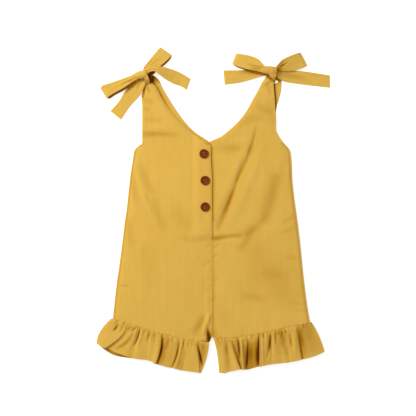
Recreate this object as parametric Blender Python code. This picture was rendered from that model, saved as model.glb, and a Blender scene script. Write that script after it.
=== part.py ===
"""Baby romper with shoulder ties and ruffled legs, laid flat and seen from above.

Right and left are the wearer's.  Tables are in millimetres: x runs from the centre-front
line towards the wearer's left, y up from the lowest point of the hem, z up from the surface
that the romper lies on.  Two backs lie on that surface, the two fronts lie on the backs, and
the right front laps over the left one under three buttons.  Each shoulder is tied in a bow,
and each leg ends in a gathered ruffle with a front and a back run.
"""

import math
from collections import namedtuple

import bmesh
import bpy
from mathutils import Vector

MM = 0.001

# ---------------------------------------------------------------- driving sizes, millimetres

ORIGIN_X = 1.8            # middle of the outline, which becomes the part's origin
ORIGIN_Y = 244.4
WALL = 1.2                # cloth wall
SEAM_GAP = 0.3            # between pieces that are sewn or lie on each other
SEAM_SHIFT = 0.4          # between a leg seam and the ruffle's top edge, measured up the leg
LAP_GAP = 0.5             # between the right front and the underlap
LAP_WIDTH = 18.0          # how far the left front runs under the right one
LAP_END = 211.0
LAP_FADE = 12.0           # how far below its end the lap's height dies out
LAP_RAMP = 6.0            # how far past the underlap its height dies out
LAP_CLEAR = 1.0           # how far before the underlap's edge its height is full
AIR = 2.2                 # most that the fronts stand clear of the backs
AIR_FULLNESS = 4          # power that keeps the air full nearly to the sides
CREASE_BLUNTNESS = 0.6    # power that keeps a crease deep nearly to its ends
GATHER_REACH = 0.35       # share of a ruffle's depth where its gathers reach their swell
STEEPEST = 0.7            # least cosine of a ruffle's tilt that its wall is thickened for
KNOT_END = 0.8            # how full a knot's ends are beside its middle
BUTTON_DIAMETER = 14.0
BUTTON_THICKNESS = 3.0
BUTTON_HOLE = 1.9
BUTTON_HOLE_SPACING = 3.4
BUTTON_TURN = 20.0        # degrees that the holes' square is turned from the garment's grain

FRONT_REST = WALL + SEAM_GAP          # underside of a front where it lies on a back
LAP_RISE = WALL + LAP_GAP             # how far the underlap lifts the right front

# ---------------------------------------------------------------------------- mesh fineness

PANEL_STEP = 9.5          # length of a front's cells down the garment
PANEL_CELLS = 18          # across a front
BACK_STEP = 19.0
BACK_CELLS = 6
RIBBON_STEP = 5.0         # length of a tie's cells
RIBBON_CELLS = 4
GATHER_CELLS = 2          # between one gather and the next
RUFFLE_CELLS = 6          # down a front ruffle
BACK_RUFFLE_CELLS = 4
KNOT_SIDES = 16
KNOT_RINGS = 6
BUTTON_SIDES = 24
HOLE_SIDES = 8
SHARP_ANGLE = 50.0        # degrees between faces where shading breaks

# ---------------------------------------------------------------------- tables, millimetres

# A section runs across a panel from its side edge to its inner edge, which is the neck or
# the centre.  sag drops the section between its ends, and lift raises the strap's tip.
Section = namedtuple("Section", "side_x side_y inner_x inner_y sag lift")

FRONT_RIGHT = (
    Section(-100.4, 446.2, -94.8, 448.2, 0.0, 1.2),
    Section(-98.8, 439.6, -91.5, 442.4, 0.0, 0.9),
    Section(-99.8, 433.5, -90.6, 437.0, 0.0, 0.6),
    Section(-103.5, 423.8, -83.3, 428.0, 0.0, 0.2),
    Section(-105.6, 414.5, -76.5, 414.3, 0.0, 0.0),
    Section(-104.8, 402.8, -69.2, 402.3, 0.0, 0.0),
    Section(-104.5, 390.0, -60.5, 390.2, 0.0, 0.0),
    Section(-104.6, 375.0, -46.2, 374.6, 0.0, 0.0),
    Section(-104.6, 360.0, -29.6, 359.9, 0.0, 0.0),
    Section(-104.7, 345.4, -14.9, 349.4, 0.0, 0.0),
    Section(-109.9, 340.6, -5.1, 343.6, 0.0, 0.0),
    Section(-116.1, 334.0, -1.2, 338.7, 0.0, 0.0),
    Section(-118.6, 319.5, -0.9, 322.5, 0.0, 0.0),
    Section(-121.7, 301.5, -0.2, 303.0, 0.0, 0.0),
    Section(-123.7, 284.0, 1.6, 286.0, 0.0, 0.0),
    Section(-125.0, 273.0, 0.8, 276.0, 0.0, 0.0),
    Section(-127.3, 250.5, 0.8, 251.0, 0.0, 0.0),
    Section(-131.2, 223.5, 0.6, 222.0, 0.0, 0.0),
    Section(-134.2, 198.0, 0.6, 195.0, 0.0, 0.0),
    Section(-137.9, 168.0, 0.6, 163.0, 0.0, 0.0),
    Section(-141.5, 144.0, 0.6, 132.0, 0.6, 0.0),
    Section(-144.1, 124.5, 0.6, 105.0, 1.4, 0.0),
    Section(-146.3, 104.0, 0.5, 80.0, 2.6, 0.0),
    Section(-147.8, 90.0, -0.2, 56.6, 4.2, 0.0),
    Section(-148.7, 80.4, -3.7, 47.0, 5.4, 0.0),
)

FRONT_LEFT = (
    Section(91.0, 448.6, 82.4, 449.0, 0.0, 1.2),
    Section(92.0, 442.0, 80.2, 443.4, 0.0, 0.9),
    Section(92.2, 433.5, 75.0, 435.6, 0.0, 0.5),
    Section(93.3, 420.0, 67.4, 420.9, 0.0, 0.1),
    Section(94.4, 408.0, 59.9, 407.7, 0.0, 0.0),
    Section(95.1, 394.5, 52.0, 393.5, 0.0, 0.0),
    Section(95.9, 381.0, 42.9, 381.0, 0.0, 0.0),
    Section(96.0, 366.0, 28.5, 366.6, 0.0, 0.0),
    Section(99.9, 355.5, 12.8, 354.3, 0.0, 0.0),
    Section(108.0, 344.4, -2.6, 347.2, 0.0, 0.0),
    Section(117.0, 333.6, -17.0, 338.5, 0.0, 0.0),
    Section(119.5, 315.0, -LAP_WIDTH, 320.0, 0.0, 0.0),
    Section(120.4, 289.5, -LAP_WIDTH, 293.0, 0.0, 0.0),
    Section(122.8, 267.0, -LAP_WIDTH, 268.0, 0.0, 0.0),
    Section(126.4, 240.0, -LAP_WIDTH, 242.0, 0.0, 0.0),
    Section(128.5, 225.0, -14.5, 225.0, 0.0, 0.0),
    Section(130.6, 208.0, 1.2, 208.0, 0.0, 0.0),
    Section(133.0, 187.0, 1.2, 186.0, 0.0, 0.0),
    Section(136.0, 156.0, 1.2, 153.0, 0.0, 0.0),
    Section(138.9, 130.5, 1.2, 122.0, 0.8, 0.0),
    Section(142.3, 104.0, 1.2, 90.0, 2.2, 0.0),
    Section(145.2, 87.0, 0.9, 68.0, 4.0, 0.0),
    Section(147.4, 75.3, 1.1, 53.4, 5.2, 0.0),
)

BACK_RIGHT = (
    Section(-95.3, 447.0, -87.8, 446.3, 0.0, 0.0),
    Section(-97.5, 438.0, -80.1, 440.3, 0.0, 0.0),
    Section(-100.8, 427.5, -73.9, 427.5, 0.0, 0.0),
    Section(-103.5, 414.0, -66.0, 414.0, 0.0, 0.0),
    Section(-103.7, 397.5, -55.6, 397.5, 0.0, 0.0),
    Section(-103.7, 379.5, -42.6, 379.2, 0.0, 0.0),
    Section(-103.7, 361.5, -26.1, 361.8, 0.0, 0.0),
    Section(-103.9, 345.2, -12.0, 352.2, 0.0, 0.0),
    Section(-109.1, 339.6, -3.8, 346.5, 0.0, 0.0),
    Section(-115.7, 333.8, -0.3, 340.5, 0.0, 0.0),
    Section(-121.5, 300.0, -0.3, 303.0, 0.0, 0.0),
    Section(-127.1, 250.5, -0.3, 251.0, 0.0, 0.0),
    Section(-134.0, 198.0, -0.3, 195.0, 0.0, 0.0),
    Section(-141.3, 144.0, -0.3, 132.0, 0.6, 0.0),
    Section(-146.1, 104.0, -0.3, 80.0, 2.6, 0.0),
    Section(-148.7, 80.4, -3.7, 47.0, 5.4, 0.0),
)

BACK_LEFT = (
    Section(103.6, 440.0, 97.6, 440.6, 0.0, 0.0),
    Section(104.3, 432.0, 97.2, 433.0, 0.0, 0.0),
    Section(103.6, 425.0, 91.0, 427.5, 0.0, 0.0),
    Section(100.4, 411.0, 72.0, 413.0, 0.0, 0.0),
    Section(96.9, 399.0, 63.0, 400.0, 0.0, 0.0),
    Section(95.4, 385.5, 53.3, 387.0, 0.0, 0.0),
    Section(95.4, 367.5, 34.5, 368.5, 0.0, 0.0),
    Section(99.5, 355.5, 15.8, 354.4, 0.0, 0.0),
    Section(107.6, 344.3, 3.0, 346.1, 0.0, 0.0),
    Section(116.6, 333.3, 0.3, 340.5, 0.0, 0.0),
    Section(120.2, 289.5, 0.3, 291.0, 0.0, 0.0),
    Section(126.2, 240.0, 0.3, 240.0, 0.0, 0.0),
    Section(132.8, 187.0, 0.3, 186.0, 0.0, 0.0),
    Section(138.7, 130.5, 0.3, 122.0, 0.8, 0.0),
    Section(145.0, 87.0, 0.3, 68.5, 4.0, 0.0),
    Section(147.4, 75.3, 1.1, 53.4, 5.2, 0.0),
)

# How wide half the body is, how much of the air is under it, by height.
Girth = namedtuple("Girth", "y half air")

GIRTHS = (
    Girth(445.0, 108.0, 0.10),
    Girth(390.0, 108.0, 0.25),
    Girth(345.0, 112.0, 0.45),
    Girth(300.0, 121.0, 0.90),
    Girth(230.0, 130.0, 1.00),
    Girth(150.0, 139.0, 0.90),
    Girth(95.0, 146.0, 0.55),
    Girth(45.0, 149.0, 0.20),
)

# A crease is a soft trough from one end to the other, or a ridge where its depth is below
# zero.  bow carries its middle sideways.
Crease = namedtuple("Crease", "x0 y0 x1 y1 bow width depth")

CREASES = (
    Crease(65.3, 366.0, 12.5, 223.0, 3.0, 5.5, 1.7),
    Crease(75.0, 352.0, 25.0, 222.0, 3.0, 6.0, -0.9),
    Crease(54.0, 352.0, 4.5, 232.0, 3.0, 6.0, -0.6),
    Crease(87.0, 280.0, 53.0, 218.6, 5.0, 11.0, 1.0),
    Crease(15.0, 336.0, 46.5, 337.0, 0.0, 6.0, 0.5),
    Crease(-96.0, 358.5, -46.5, 358.5, 1.0, 8.0, 0.6),
    Crease(-97.0, 295.5, -83.3, 262.5, 0.0, 9.0, 0.8),
    Crease(-70.0, 252.0, -46.0, 205.0, 2.0, 11.0, 0.5),
    Crease(3.9, 203.0, 34.5, 205.0, 0.0, 5.0, 0.9),
    Crease(-30.6, 196.5, -2.0, 196.0, 0.0, 5.0, 0.7),
    Crease(63.0, 225.0, 38.3, 179.0, 2.0, 10.0, 0.8),
    Crease(-10.5, 82.5, -25.0, 61.5, 0.0, 6.0, 1.0),
    Crease(-8.3, 67.5, -5.7, 47.0, 0.0, 4.0, 0.8),
    Crease(-4.0, 90.0, -9.3, 74.0, 0.0, 5.0, -1.0),
    Crease(95.0, 190.0, 62.0, 120.0, 6.0, 14.0, 0.7),
    Crease(-104.0, 200.0, -92.0, 120.0, 4.0, 12.0, 0.6),
)

# A gather is one line of a ruffle, from its point on the leg seam to its point on the hem.
# bend carries its middle sideways, and swell and rise are its height above its lowest place
# a third of the way down and at the hem: high on a crest, low in a fold.
Gather = namedtuple("Gather", "seam_x hem_x hem_y bend swell rise")

RUFFLE_FRONT_RIGHT = (
    Gather(-151.8, -173.0, 45.2, -4.6, 0.3, 0.6),
    Gather(-141.0, -167.3, 41.1, 1.0, 1.8, 3.2),
    Gather(-128.3, -160.7, 38.5, 9.0, 2.4, 3.7),
    Gather(-125.3, -156.8, 38.0, 12.5, 0.1, 0.0),
    Gather(-118.5, -144.0, 31.0, 8.0, 1.3, 1.2),
    Gather(-112.5, -132.0, 27.0, 4.0, 1.7, 2.0),
    Gather(-108.7, -121.5, 23.3, 1.0, 0.0, 1.0),
    Gather(-103.5, -111.0, 21.5, 0.0, 2.0, 2.4),
    Gather(-93.9, -99.0, 20.1, 0.0, 0.3, 1.2),
    Gather(-89.3, -93.0, 19.0, 0.0, 1.9, 2.6),
    Gather(-84.5, -89.3, 18.0, 0.0, 0.2, 1.4),
    Gather(-78.8, -83.1, 14.1, 1.5, 2.5, 3.7),
    Gather(-75.3, -79.1, 12.9, 1.5, 0.0, 0.1),
    Gather(-63.0, -69.0, 9.9, 1.0, 1.2, 1.3),
    Gather(-50.5, -60.6, 8.1, 1.5, 0.0, 0.1),
    Gather(-45.8, -55.5, 7.2, 1.5, 2.0, 2.8),
    Gather(-41.5, -48.0, 5.1, 0.5, 0.5, 1.6),
    Gather(-33.0, -37.5, 3.6, 0.0, 1.8, 2.4),
    Gather(-22.5, -20.3, 1.2, 0.0, 1.8, 2.8),
    Gather(-19.0, -18.6, 0.7, 2.0, 0.6, 0.8),
    Gather(-4.0, -16.4, 0.9, 2.6, 0.3, 0.4),
)

RUFFLE_FRONT_LEFT = (
    Gather(1.6, 10.4, 0.6, 2.0, 0.3, 0.5),
    Gather(11.3, 18.8, 0.5, 0.8, 1.5, 2.2),
    Gather(19.5, 26.3, 2.6, 0.0, 0.4, 1.2),
    Gather(27.5, 40.5, 6.3, 0.5, 2.3, 3.7),
    Gather(30.5, 43.9, 5.6, 0.5, 0.0, 0.0),
    Gather(39.0, 45.6, 5.6, 0.0, 0.1, 0.5),
    Gather(43.2, 48.3, 5.9, 0.0, 2.4, 3.3),
    Gather(47.3, 51.0, 5.6, 0.0, 0.6, 0.9),
    Gather(50.4, 55.5, 6.3, 0.0, 1.7, 1.9),
    Gather(54.5, 60.0, 7.5, 0.0, 0.3, 0.8),
    Gather(62.3, 64.8, 8.9, 0.0, 1.2, 1.3),
    Gather(69.6, 70.4, 9.9, 0.0, 0.0, 0.0),
    Gather(75.0, 76.8, 11.4, 0.0, 2.3, 3.4),
    Gather(81.8, 82.5, 12.5, 0.0, 2.0, 2.5),
    Gather(87.9, 88.5, 13.5, 0.0, 0.2, 1.6),
    Gather(92.3, 96.0, 14.6, 0.0, 1.9, 2.4),
    Gather(97.2, 103.5, 15.3, 0.0, 0.5, 1.5),
    Gather(102.0, 109.5, 15.9, 0.0, 1.7, 2.2),
    Gather(107.3, 114.8, 16.5, 0.0, 0.4, 1.4),
    Gather(114.8, 122.3, 18.0, 0.0, 1.7, 2.6),
    Gather(125.2, 132.0, 20.4, 0.0, 2.0, 3.1),
    Gather(129.9, 136.5, 21.0, 0.0, 0.1, 0.4),
    Gather(136.5, 145.5, 23.4, 0.0, 1.2, 1.7),
    Gather(142.5, 156.0, 26.7, 0.0, 0.4, 1.9),
    Gather(149.2, 168.4, 32.4, 2.2, 0.2, 0.5),
)

RUFFLE_BACK_RIGHT = (
    Gather(-151.0, -171.5, 45.2, -4.4, 0.0, 0.0),
    Gather(-135.0, -161.0, 37.0, 2.0, 0.0, 0.0),
    Gather(-120.0, -144.5, 28.2, 4.0, 0.0, 0.0),
    Gather(-108.0, -126.0, 24.0, 1.0, 0.0, 0.0),
    Gather(-90.0, -95.0, 19.8, 0.0, 0.0, 0.0),
    Gather(-60.0, -66.0, 11.5, 0.0, 0.0, 0.0),
    Gather(-30.0, -34.0, 5.0, 0.0, 0.0, 0.0),
    Gather(-4.0, -16.8, 1.8, 2.4, 0.0, 0.0),
)

RUFFLE_BACK_LEFT = (
    Gather(1.6, 11.0, 1.6, 2.0, 0.0, 0.0),
    Gather(30.0, 42.0, 6.8, 0.5, 0.0, 0.0),
    Gather(60.0, 65.0, 11.6, 0.0, 0.0, 0.0),
    Gather(90.0, 94.0, 17.2, 0.0, 0.0, 0.0),
    Gather(120.0, 128.0, 22.6, 0.0, 0.0, 0.0),
    Gather(148.6, 167.4, 33.0, 2.2, 0.0, 0.0),
)

# A band is one place along a tie: its two edges, the height of its middle, and how much
# higher edge b is than edge a.
Band = namedtuple("Band", "ax ay bx by z bank")

LOOP_UP_RIGHT = (
    Band(-99.0, 456.3, -95.3, 447.6, 6.6, 0.0),
    Band(-98.0, 463.8, -83.3, 455.3, 6.4, 0.0),
    Band(-90.0, 473.1, -73.5, 462.6, 6.2, 0.0),
    Band(-80.1, 484.8, -62.7, 472.8, 6.0, 0.0),
    Band(-77.6, 487.8, -60.2, 475.8, 4.0, 0.0),
    Band(-79.7, 484.5, -61.7, 471.9, 1.2, 0.0),
    Band(-88.5, 472.1, -72.0, 461.1, 1.4, 0.0),
    Band(-94.5, 461.7, -84.0, 454.5, 3.2, 0.0),
    Band(-98.4, 454.9, -95.6, 448.3, 4.8, 0.0),
)

TAIL_IN_RIGHT = (
    Band(-98.6, 455.1, -95.5, 448.0, 9.8, 0.0),
    Band(-89.3, 460.2, -86.3, 450.0, 9.6, 0.0),
    Band(-80.5, 459.6, -79.0, 446.3, 8.8, 0.0),
    Band(-69.8, 457.7, -70.5, 440.6, 5.6, 0.0),
    Band(-55.1, 453.6, -57.0, 433.5, 2.0, 0.0),
    Band(-43.0, 448.0, -47.2, 430.2, 0.6, 0.0),
    Band(-32.1, 441.0, -38.1, 424.5, 0.6, 0.0),
)

LOOP_OUT_RIGHT = (
    Band(-116.4, 445.6, -112.8, 437.7, 9.6, 0.0),
    Band(-123.0, 442.5, -119.4, 431.4, 9.2, 0.0),
    Band(-136.5, 438.3, -135.0, 421.5, 7.8, 0.0),
    Band(-151.5, 433.6, -146.3, 415.5, 6.4, 0.0),
    Band(-164.7, 429.9, -153.6, 412.2, 5.8, 0.0),
    Band(-166.8, 427.6, -156.6, 410.7, 3.6, 0.0),
    Band(-163.5, 426.6, -152.6, 410.7, 1.4, 0.0),
    Band(-150.0, 429.3, -144.0, 413.7, 1.6, 0.0),
    Band(-135.0, 434.1, -131.6, 420.6, 3.8, 0.0),
    Band(-121.5, 439.8, -117.6, 430.5, 6.0, 0.0),
    Band(-116.1, 443.7, -113.0, 437.1, 7.0, 0.0),
)

TAIL_OUT_RIGHT = (
    Band(-111.4, 439.2, -100.6, 441.2, 4.4, 0.2),
    Band(-114.3, 434.3, -100.5, 433.2, 4.2, 0.8),
    Band(-121.5, 427.5, -104.5, 421.5, 2.9, 1.6),
    Band(-129.6, 419.4, -110.4, 413.4, 1.4, 0.8),
    Band(-140.3, 406.5, -122.3, 400.5, 0.6, 0.0),
    Band(-152.6, 393.0, -136.6, 380.0, 0.6, 0.0),
)

LOOP_IN_LEFT = (
    Band(78.0, 459.3, 78.0, 448.8, 9.4, 0.0),
    Band(69.0, 469.8, 66.0, 452.1, 8.6, 0.0),
    Band(57.0, 474.9, 52.5, 454.7, 7.2, 0.0),
    Band(41.3, 477.9, 36.0, 459.9, 6.0, 0.0),
    Band(36.6, 478.6, 30.6, 462.6, 3.8, 0.0),
    Band(39.9, 476.1, 36.0, 457.5, 1.4, 0.0),
    Band(57.0, 471.9, 54.0, 451.5, 2.4, 0.0),
    Band(69.0, 465.9, 68.3, 449.1, 5.0, 0.0),
    Band(78.0, 457.5, 78.0, 447.0, 6.8, 0.0),
)

TAIL_IN_LEFT = (
    Band(78.3, 451.8, 80.0, 446.0, 4.6, 0.0),
    Band(67.5, 453.3, 63.8, 441.4, 1.8, 0.0),
    Band(54.0, 454.2, 43.5, 435.8, 0.6, 0.0),
    Band(39.0, 454.1, 30.0, 433.7, 0.6, 0.0),
    Band(17.2, 454.0, 19.0, 432.4, 0.6, 0.0),
)

LOOP_OUT_LEFT = (
    Band(97.2, 459.6, 97.2, 450.9, 9.4, 0.0),
    Band(105.9, 469.5, 108.0, 453.0, 8.4, 0.0),
    Band(116.7, 474.6, 120.0, 452.7, 7.2, 0.0),
    Band(128.3, 479.1, 138.6, 458.1, 6.2, 0.0),
    Band(132.0, 480.0, 141.9, 460.1, 4.2, 0.0),
    Band(129.3, 477.3, 138.0, 456.6, 1.8, 0.0),
    Band(117.8, 471.6, 123.0, 452.1, 2.4, 0.0),
    Band(107.1, 465.6, 110.4, 451.5, 5.0, 0.0),
    Band(97.4, 457.5, 97.4, 450.0, 6.9, 0.0),
)

TAIL_OUT_LEFT = (
    Band(97.3, 452.4, 98.6, 443.1, 4.8, 0.0),
    Band(108.0, 455.4, 107.3, 437.2, 2.6, 0.0),
    Band(121.5, 453.9, 120.8, 434.6, 0.6, 0.0),
    Band(141.0, 452.0, 141.0, 431.9, 0.6, 0.0),
    Band(176.6, 446.4, 176.6, 428.0, 0.6, 0.0),
)

# A knot is a bundle of cloth between two ends, each a point on its middle line.
Knot = namedtuple("Knot", "x0 y0 x1 y1 z across up")

KNOT_RIGHT = Knot(-114.4, 442.9, -97.4, 450.4, 8.6, 6.4, 4.6)
KNOT_LEFT = Knot(78.4, 452.4, 96.8, 453.0, 8.6, 7.8, 4.6)

BUTTON_CENTRES = (("button_top", -11.9, 328.5),
                  ("button_middle", -10.2, 288.5),
                  ("button_bottom", -10.2, 249.0))

# Half the outline of a button, from the middle of its face to the middle of its underside.
BUTTON_PROFILE = ((0.0, 0.62), (0.52, 0.62), (0.66, 0.92), (0.82, 1.0), (0.95, 0.82),
                  (1.0, 0.50), (0.90, 0.12), (0.74, 0.0), (0.0, 0.0))

CLOTH_COLOUR = (0.74, 0.44, 0.085, 1.0)
WOOD_COLOUR = (0.12, 0.035, 0.012, 1.0)


# ------------------------------------------------------------------------------ curve tools

def clamp(value, low=0.0, high=1.0):
    return max(low, min(high, value))


def smoothstep(value):
    value = clamp(value)
    return value * value * (3.0 - 2.0 * value)


def arch(part):
    """Nothing at both ends of a run and 1 in its middle."""
    return 4.0 * part * (1.0 - part)


def inner_arch(part):
    """Nothing at both ends of a section and 1 at two thirds, nearer its inner edge."""
    return 6.75 * part * part * (1.0 - part)


def slope(before, after):
    """Tangent at a table row that never lets the curve pass its neighbours."""
    if before * after <= 0.0:
        return 0.0
    return 2.0 * before * after / (before + after)


def between(rows, place):
    """The row at a fractional place in a table, on a smooth curve through its rows."""
    last = len(rows) - 1
    index = min(int(clamp(place, 0.0, last)), last - 1)
    part = clamp(place, 0.0, last) - index
    columns = []
    for column in range(len(rows[0])):
        start, end = rows[index][column], rows[index + 1][column]
        step = end - start
        before = start - rows[index - 1][column] if index > 0 else step
        after = rows[index + 2][column] - end if index < last - 1 else step
        leave, reach = slope(before, step), slope(step, after)
        square, cube = part * part, part * part * part
        columns.append(start * (2.0 * cube - 3.0 * square + 1.0) + leave * (cube - 2.0 * square + part)
                       + end * (3.0 * square - 2.0 * cube) + reach * (cube - square))
    return type(rows[0])(*columns)


def by_height(rows, height):
    """The row of a table ordered by falling y at a given height."""
    for index in range(len(rows) - 1):
        if height >= rows[index + 1].y:
            span = rows[index].y - rows[index + 1].y
            return between(rows, index + clamp((rows[index].y - height) / span))
    return rows[-1]


def places(rows, length_of, step):
    """Places down a table whose rows stand about one step apart."""
    found = [0.0]
    for index in range(len(rows) - 1):
        parts = max(1, round(length_of(rows[index], rows[index + 1]) / step))
        found += [index + (part + 1) / parts for part in range(parts)]
    return found


# ----------------------------------------------------------------------------- mesh tools

def romper_point(x, y, z):
    """A place in the tables as a point of the part, in metres."""
    return Vector((x - ORIGIN_X, y - ORIGIN_Y, z)) * MM


def cloth_solid(name, across, down, lower, upper):
    """A closed wall: a grid for its underside, extruded to its upper side.

    lower and upper each turn a cell corner, counted across and down, into a point.
    """
    mesh = bmesh.new()
    bmesh.ops.create_grid(mesh, x_segments=across, y_segments=down, size=0.5)
    corners = {vert: (round((vert.co.x + 0.5) * across), round((vert.co.y + 0.5) * down))
               for vert in mesh.verts}
    wall = bmesh.ops.extrude_face_region(mesh, geom=mesh.faces[:], use_keep_orig=True)
    top = [item for item in wall["geom"] if isinstance(item, bmesh.types.BMVert)]
    top_corners = {vert: (round((vert.co.x + 0.5) * across), round((vert.co.y + 0.5) * down))
                   for vert in top}
    for vert, corner in corners.items():
        vert.co = lower(*corner)
    for vert, corner in top_corners.items():
        vert.co = upper(*corner)
    bmesh.ops.recalc_face_normals(mesh, faces=mesh.faces[:])
    return finish(name, mesh, cloth())


def finish(name, mesh, material):
    """Turn a bmesh into a smooth-shaded object."""
    if mesh.calc_volume(signed=True) < 0.0:
        bmesh.ops.reverse_faces(mesh, faces=mesh.faces[:])
    data = bpy.data.meshes.new(name)
    mesh.to_mesh(data)
    mesh.free()
    data.shade_smooth()
    data.set_sharp_from_angle(angle=math.radians(SHARP_ANGLE))
    data.materials.append(material)
    piece = bpy.data.objects.new(name, data)
    bpy.context.scene.collection.objects.link(piece)
    return piece


def plain_material(name, colour, roughness):
    material = bpy.data.materials.get(name)
    if material is None:
        material = bpy.data.materials.new(name)
        material.use_nodes = True
        shader = material.node_tree.nodes["Principled BSDF"]
        shader.inputs["Base Color"].default_value = colour
        shader.inputs["Roughness"].default_value = roughness
        shader.inputs["Metallic"].default_value = 0.0
    return material


def cloth():
    return plain_material("mustard cloth", CLOTH_COLOUR, 0.88)


def wood():
    return plain_material("dark wood", WOOD_COLOUR, 0.45)


# --------------------------------------------------------------------------- cloth heights

def crease_depth(crease, x, y):
    """How far one crease lowers the cloth at a point."""
    run = Vector((crease.x1 - crease.x0, crease.y1 - crease.y0))
    length = run.length
    along = Vector((x - crease.x0, y - crease.y0)).dot(run) / (length * length)
    if not 0.0 < along < 1.0:
        return 0.0
    aside = (run.x * (y - crease.y0) - run.y * (x - crease.x0)) / length
    aside -= crease.bow * arch(along)
    fade = math.sin(math.pi * along) ** CREASE_BLUNTNESS
    return crease.depth * math.exp(-(aside / crease.width) ** 2) * fade


def front_air(x, y):
    """How far the fronts stand clear of the backs at a point."""
    girth = by_height(GIRTHS, y)
    air = AIR * girth.air * max(0.0, 1.0 - (x / girth.half) ** AIR_FULLNESS)
    air -= sum(crease_depth(crease, x, y) for crease in CREASES)
    return max(0.0, air)


def lap_lift(x, y):
    """How far the underlap lifts the right front at a point."""
    inward = smoothstep((x + LAP_WIDTH + LAP_RAMP) / (LAP_RAMP - LAP_CLEAR))
    upward = smoothstep((y - LAP_END + LAP_FADE) / LAP_FADE)
    return LAP_RISE * inward * upward


def back_rest(x, y):
    """A back lies on the surface everywhere."""
    return 0.0


def front_left_rest(x, y):
    return FRONT_REST + front_air(x, y)


def front_right_rest(x, y):
    return FRONT_REST + front_air(x, y) + lap_lift(x, y)


# ---------------------------------------------------------------------------------- panels

def section_length(first, second):
    side = math.hypot(second.side_x - first.side_x, second.side_y - first.side_y)
    inner = math.hypot(second.inner_x - first.inner_x, second.inner_y - first.inner_y)
    return 0.5 * (side + inner)


def section_point(section, part):
    """A point across a section: its x, and its y with the sag."""
    x = section.side_x + (section.inner_x - section.side_x) * part
    y = section.side_y + (section.inner_y - section.side_y) * part
    return x, y - section.sag * inner_arch(part)


def panel(name, rows, across, step, rest):
    """One front or back, its underside at the height that rest gives."""
    stations = [between(rows, place) for place in places(rows, section_length, step)]

    def lower(i, j):
        x, y = section_point(stations[j], i / across)
        return romper_point(x, y, rest(x, y) + stations[j].lift)

    def upper(i, j):
        return lower(i, j) + Vector((0.0, 0.0, WALL * MM))

    return cloth_solid(name, across, len(stations) - 1, lower, upper)


def leg_seam_y(rows, x):
    """Height of a panel's leg seam at a given x."""
    seam = rows[-1]
    return section_point(seam, clamp((x - seam.side_x) / (seam.inner_x - seam.side_x)))[1]


# --------------------------------------------------------------------------------- ruffles

def gather_point(gather, rows, part):
    """A point down a gather, from the leg seam at 0 to the hem at 1: x, y and rise."""
    seam_y = leg_seam_y(rows, gather.seam_x) - SEAM_SHIFT
    x = gather.seam_x + (gather.hem_x - gather.seam_x) * part + gather.bend * arch(part)
    y = seam_y + (gather.hem_y - seam_y) * part
    if part < GATHER_REACH:
        rise = gather.swell * smoothstep(part / GATHER_REACH)
    else:
        share = (part - GATHER_REACH) / (1.0 - GATHER_REACH)
        rise = gather.swell + (gather.rise - gather.swell) * share
    return x, y, rise


def ruffle(name, gathers, panel_rows, down, rest):
    """A ruffle run: gathers side by side, its wall measured square to its slopes."""
    across = (len(gathers) - 1) * GATHER_CELLS
    lines = [between(gathers, index / GATHER_CELLS) for index in range(across + 1)]

    def ground(i, j):
        x, y, rise = gather_point(lines[i], panel_rows, j / down)
        return x, y, rest(x, leg_seam_y(panel_rows, x), j / down) + rise

    def lower(i, j):
        return romper_point(*ground(i, j))

    def upper(i, j):
        left, right = ground(max(i - 1, 0), j), ground(min(i + 1, across), j)
        tilt = math.atan2(abs(right[2] - left[2]), math.hypot(right[0] - left[0], right[1] - left[1]))
        x, y, z = ground(i, j)
        return romper_point(x, y, z + WALL / max(math.cos(tilt), STEEPEST))

    return cloth_solid(name, across, down, lower, upper)


def front_ruffle_rest(x, seam_y, part):
    """A front run leaves the seam at the panel's height and comes down to its lowest place."""
    return FRONT_REST + front_air(x, seam_y) * (1.0 - smoothstep(part / GATHER_REACH))


def back_ruffle_rest(x, seam_y, part):
    """A back run lies on the surface everywhere."""
    return 0.0


# -------------------------------------------------------------------------------- ties

def band_length(first, second):
    here = Vector(((first.ax + first.bx) / 2.0, (first.ay + first.by) / 2.0, first.z))
    there = Vector(((second.ax + second.bx) / 2.0, (second.ay + second.by) / 2.0, second.z))
    return (there - here).length


def ribbon(name, rows):
    """A stretch of tie: its middle sheet follows the bands, with half the wall on each side."""
    stations = [between(rows, place) for place in places(rows, band_length, RIBBON_STEP)]
    down = len(stations) - 1

    def middle(i, j):
        band, part = stations[j], i / RIBBON_CELLS
        return Vector((band.ax + (band.bx - band.ax) * part,
                       band.ay + (band.by - band.ay) * part,
                       band.z + band.bank * (part - 0.5)))

    def square(i, j):
        """Unit vector square to the sheet."""
        along = middle(i, min(j + 1, down)) - middle(i, max(j - 1, 0))
        sideways = middle(RIBBON_CELLS, j) - middle(0, j)
        return sideways.cross(along).normalized()

    def lower(i, j):
        return romper_point(*(middle(i, j) - square(i, j) * (WALL / 2.0)))

    def upper(i, j):
        return romper_point(*(middle(i, j) + square(i, j) * (WALL / 2.0)))

    return cloth_solid(name, RIBBON_CELLS, down, lower, upper)


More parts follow.
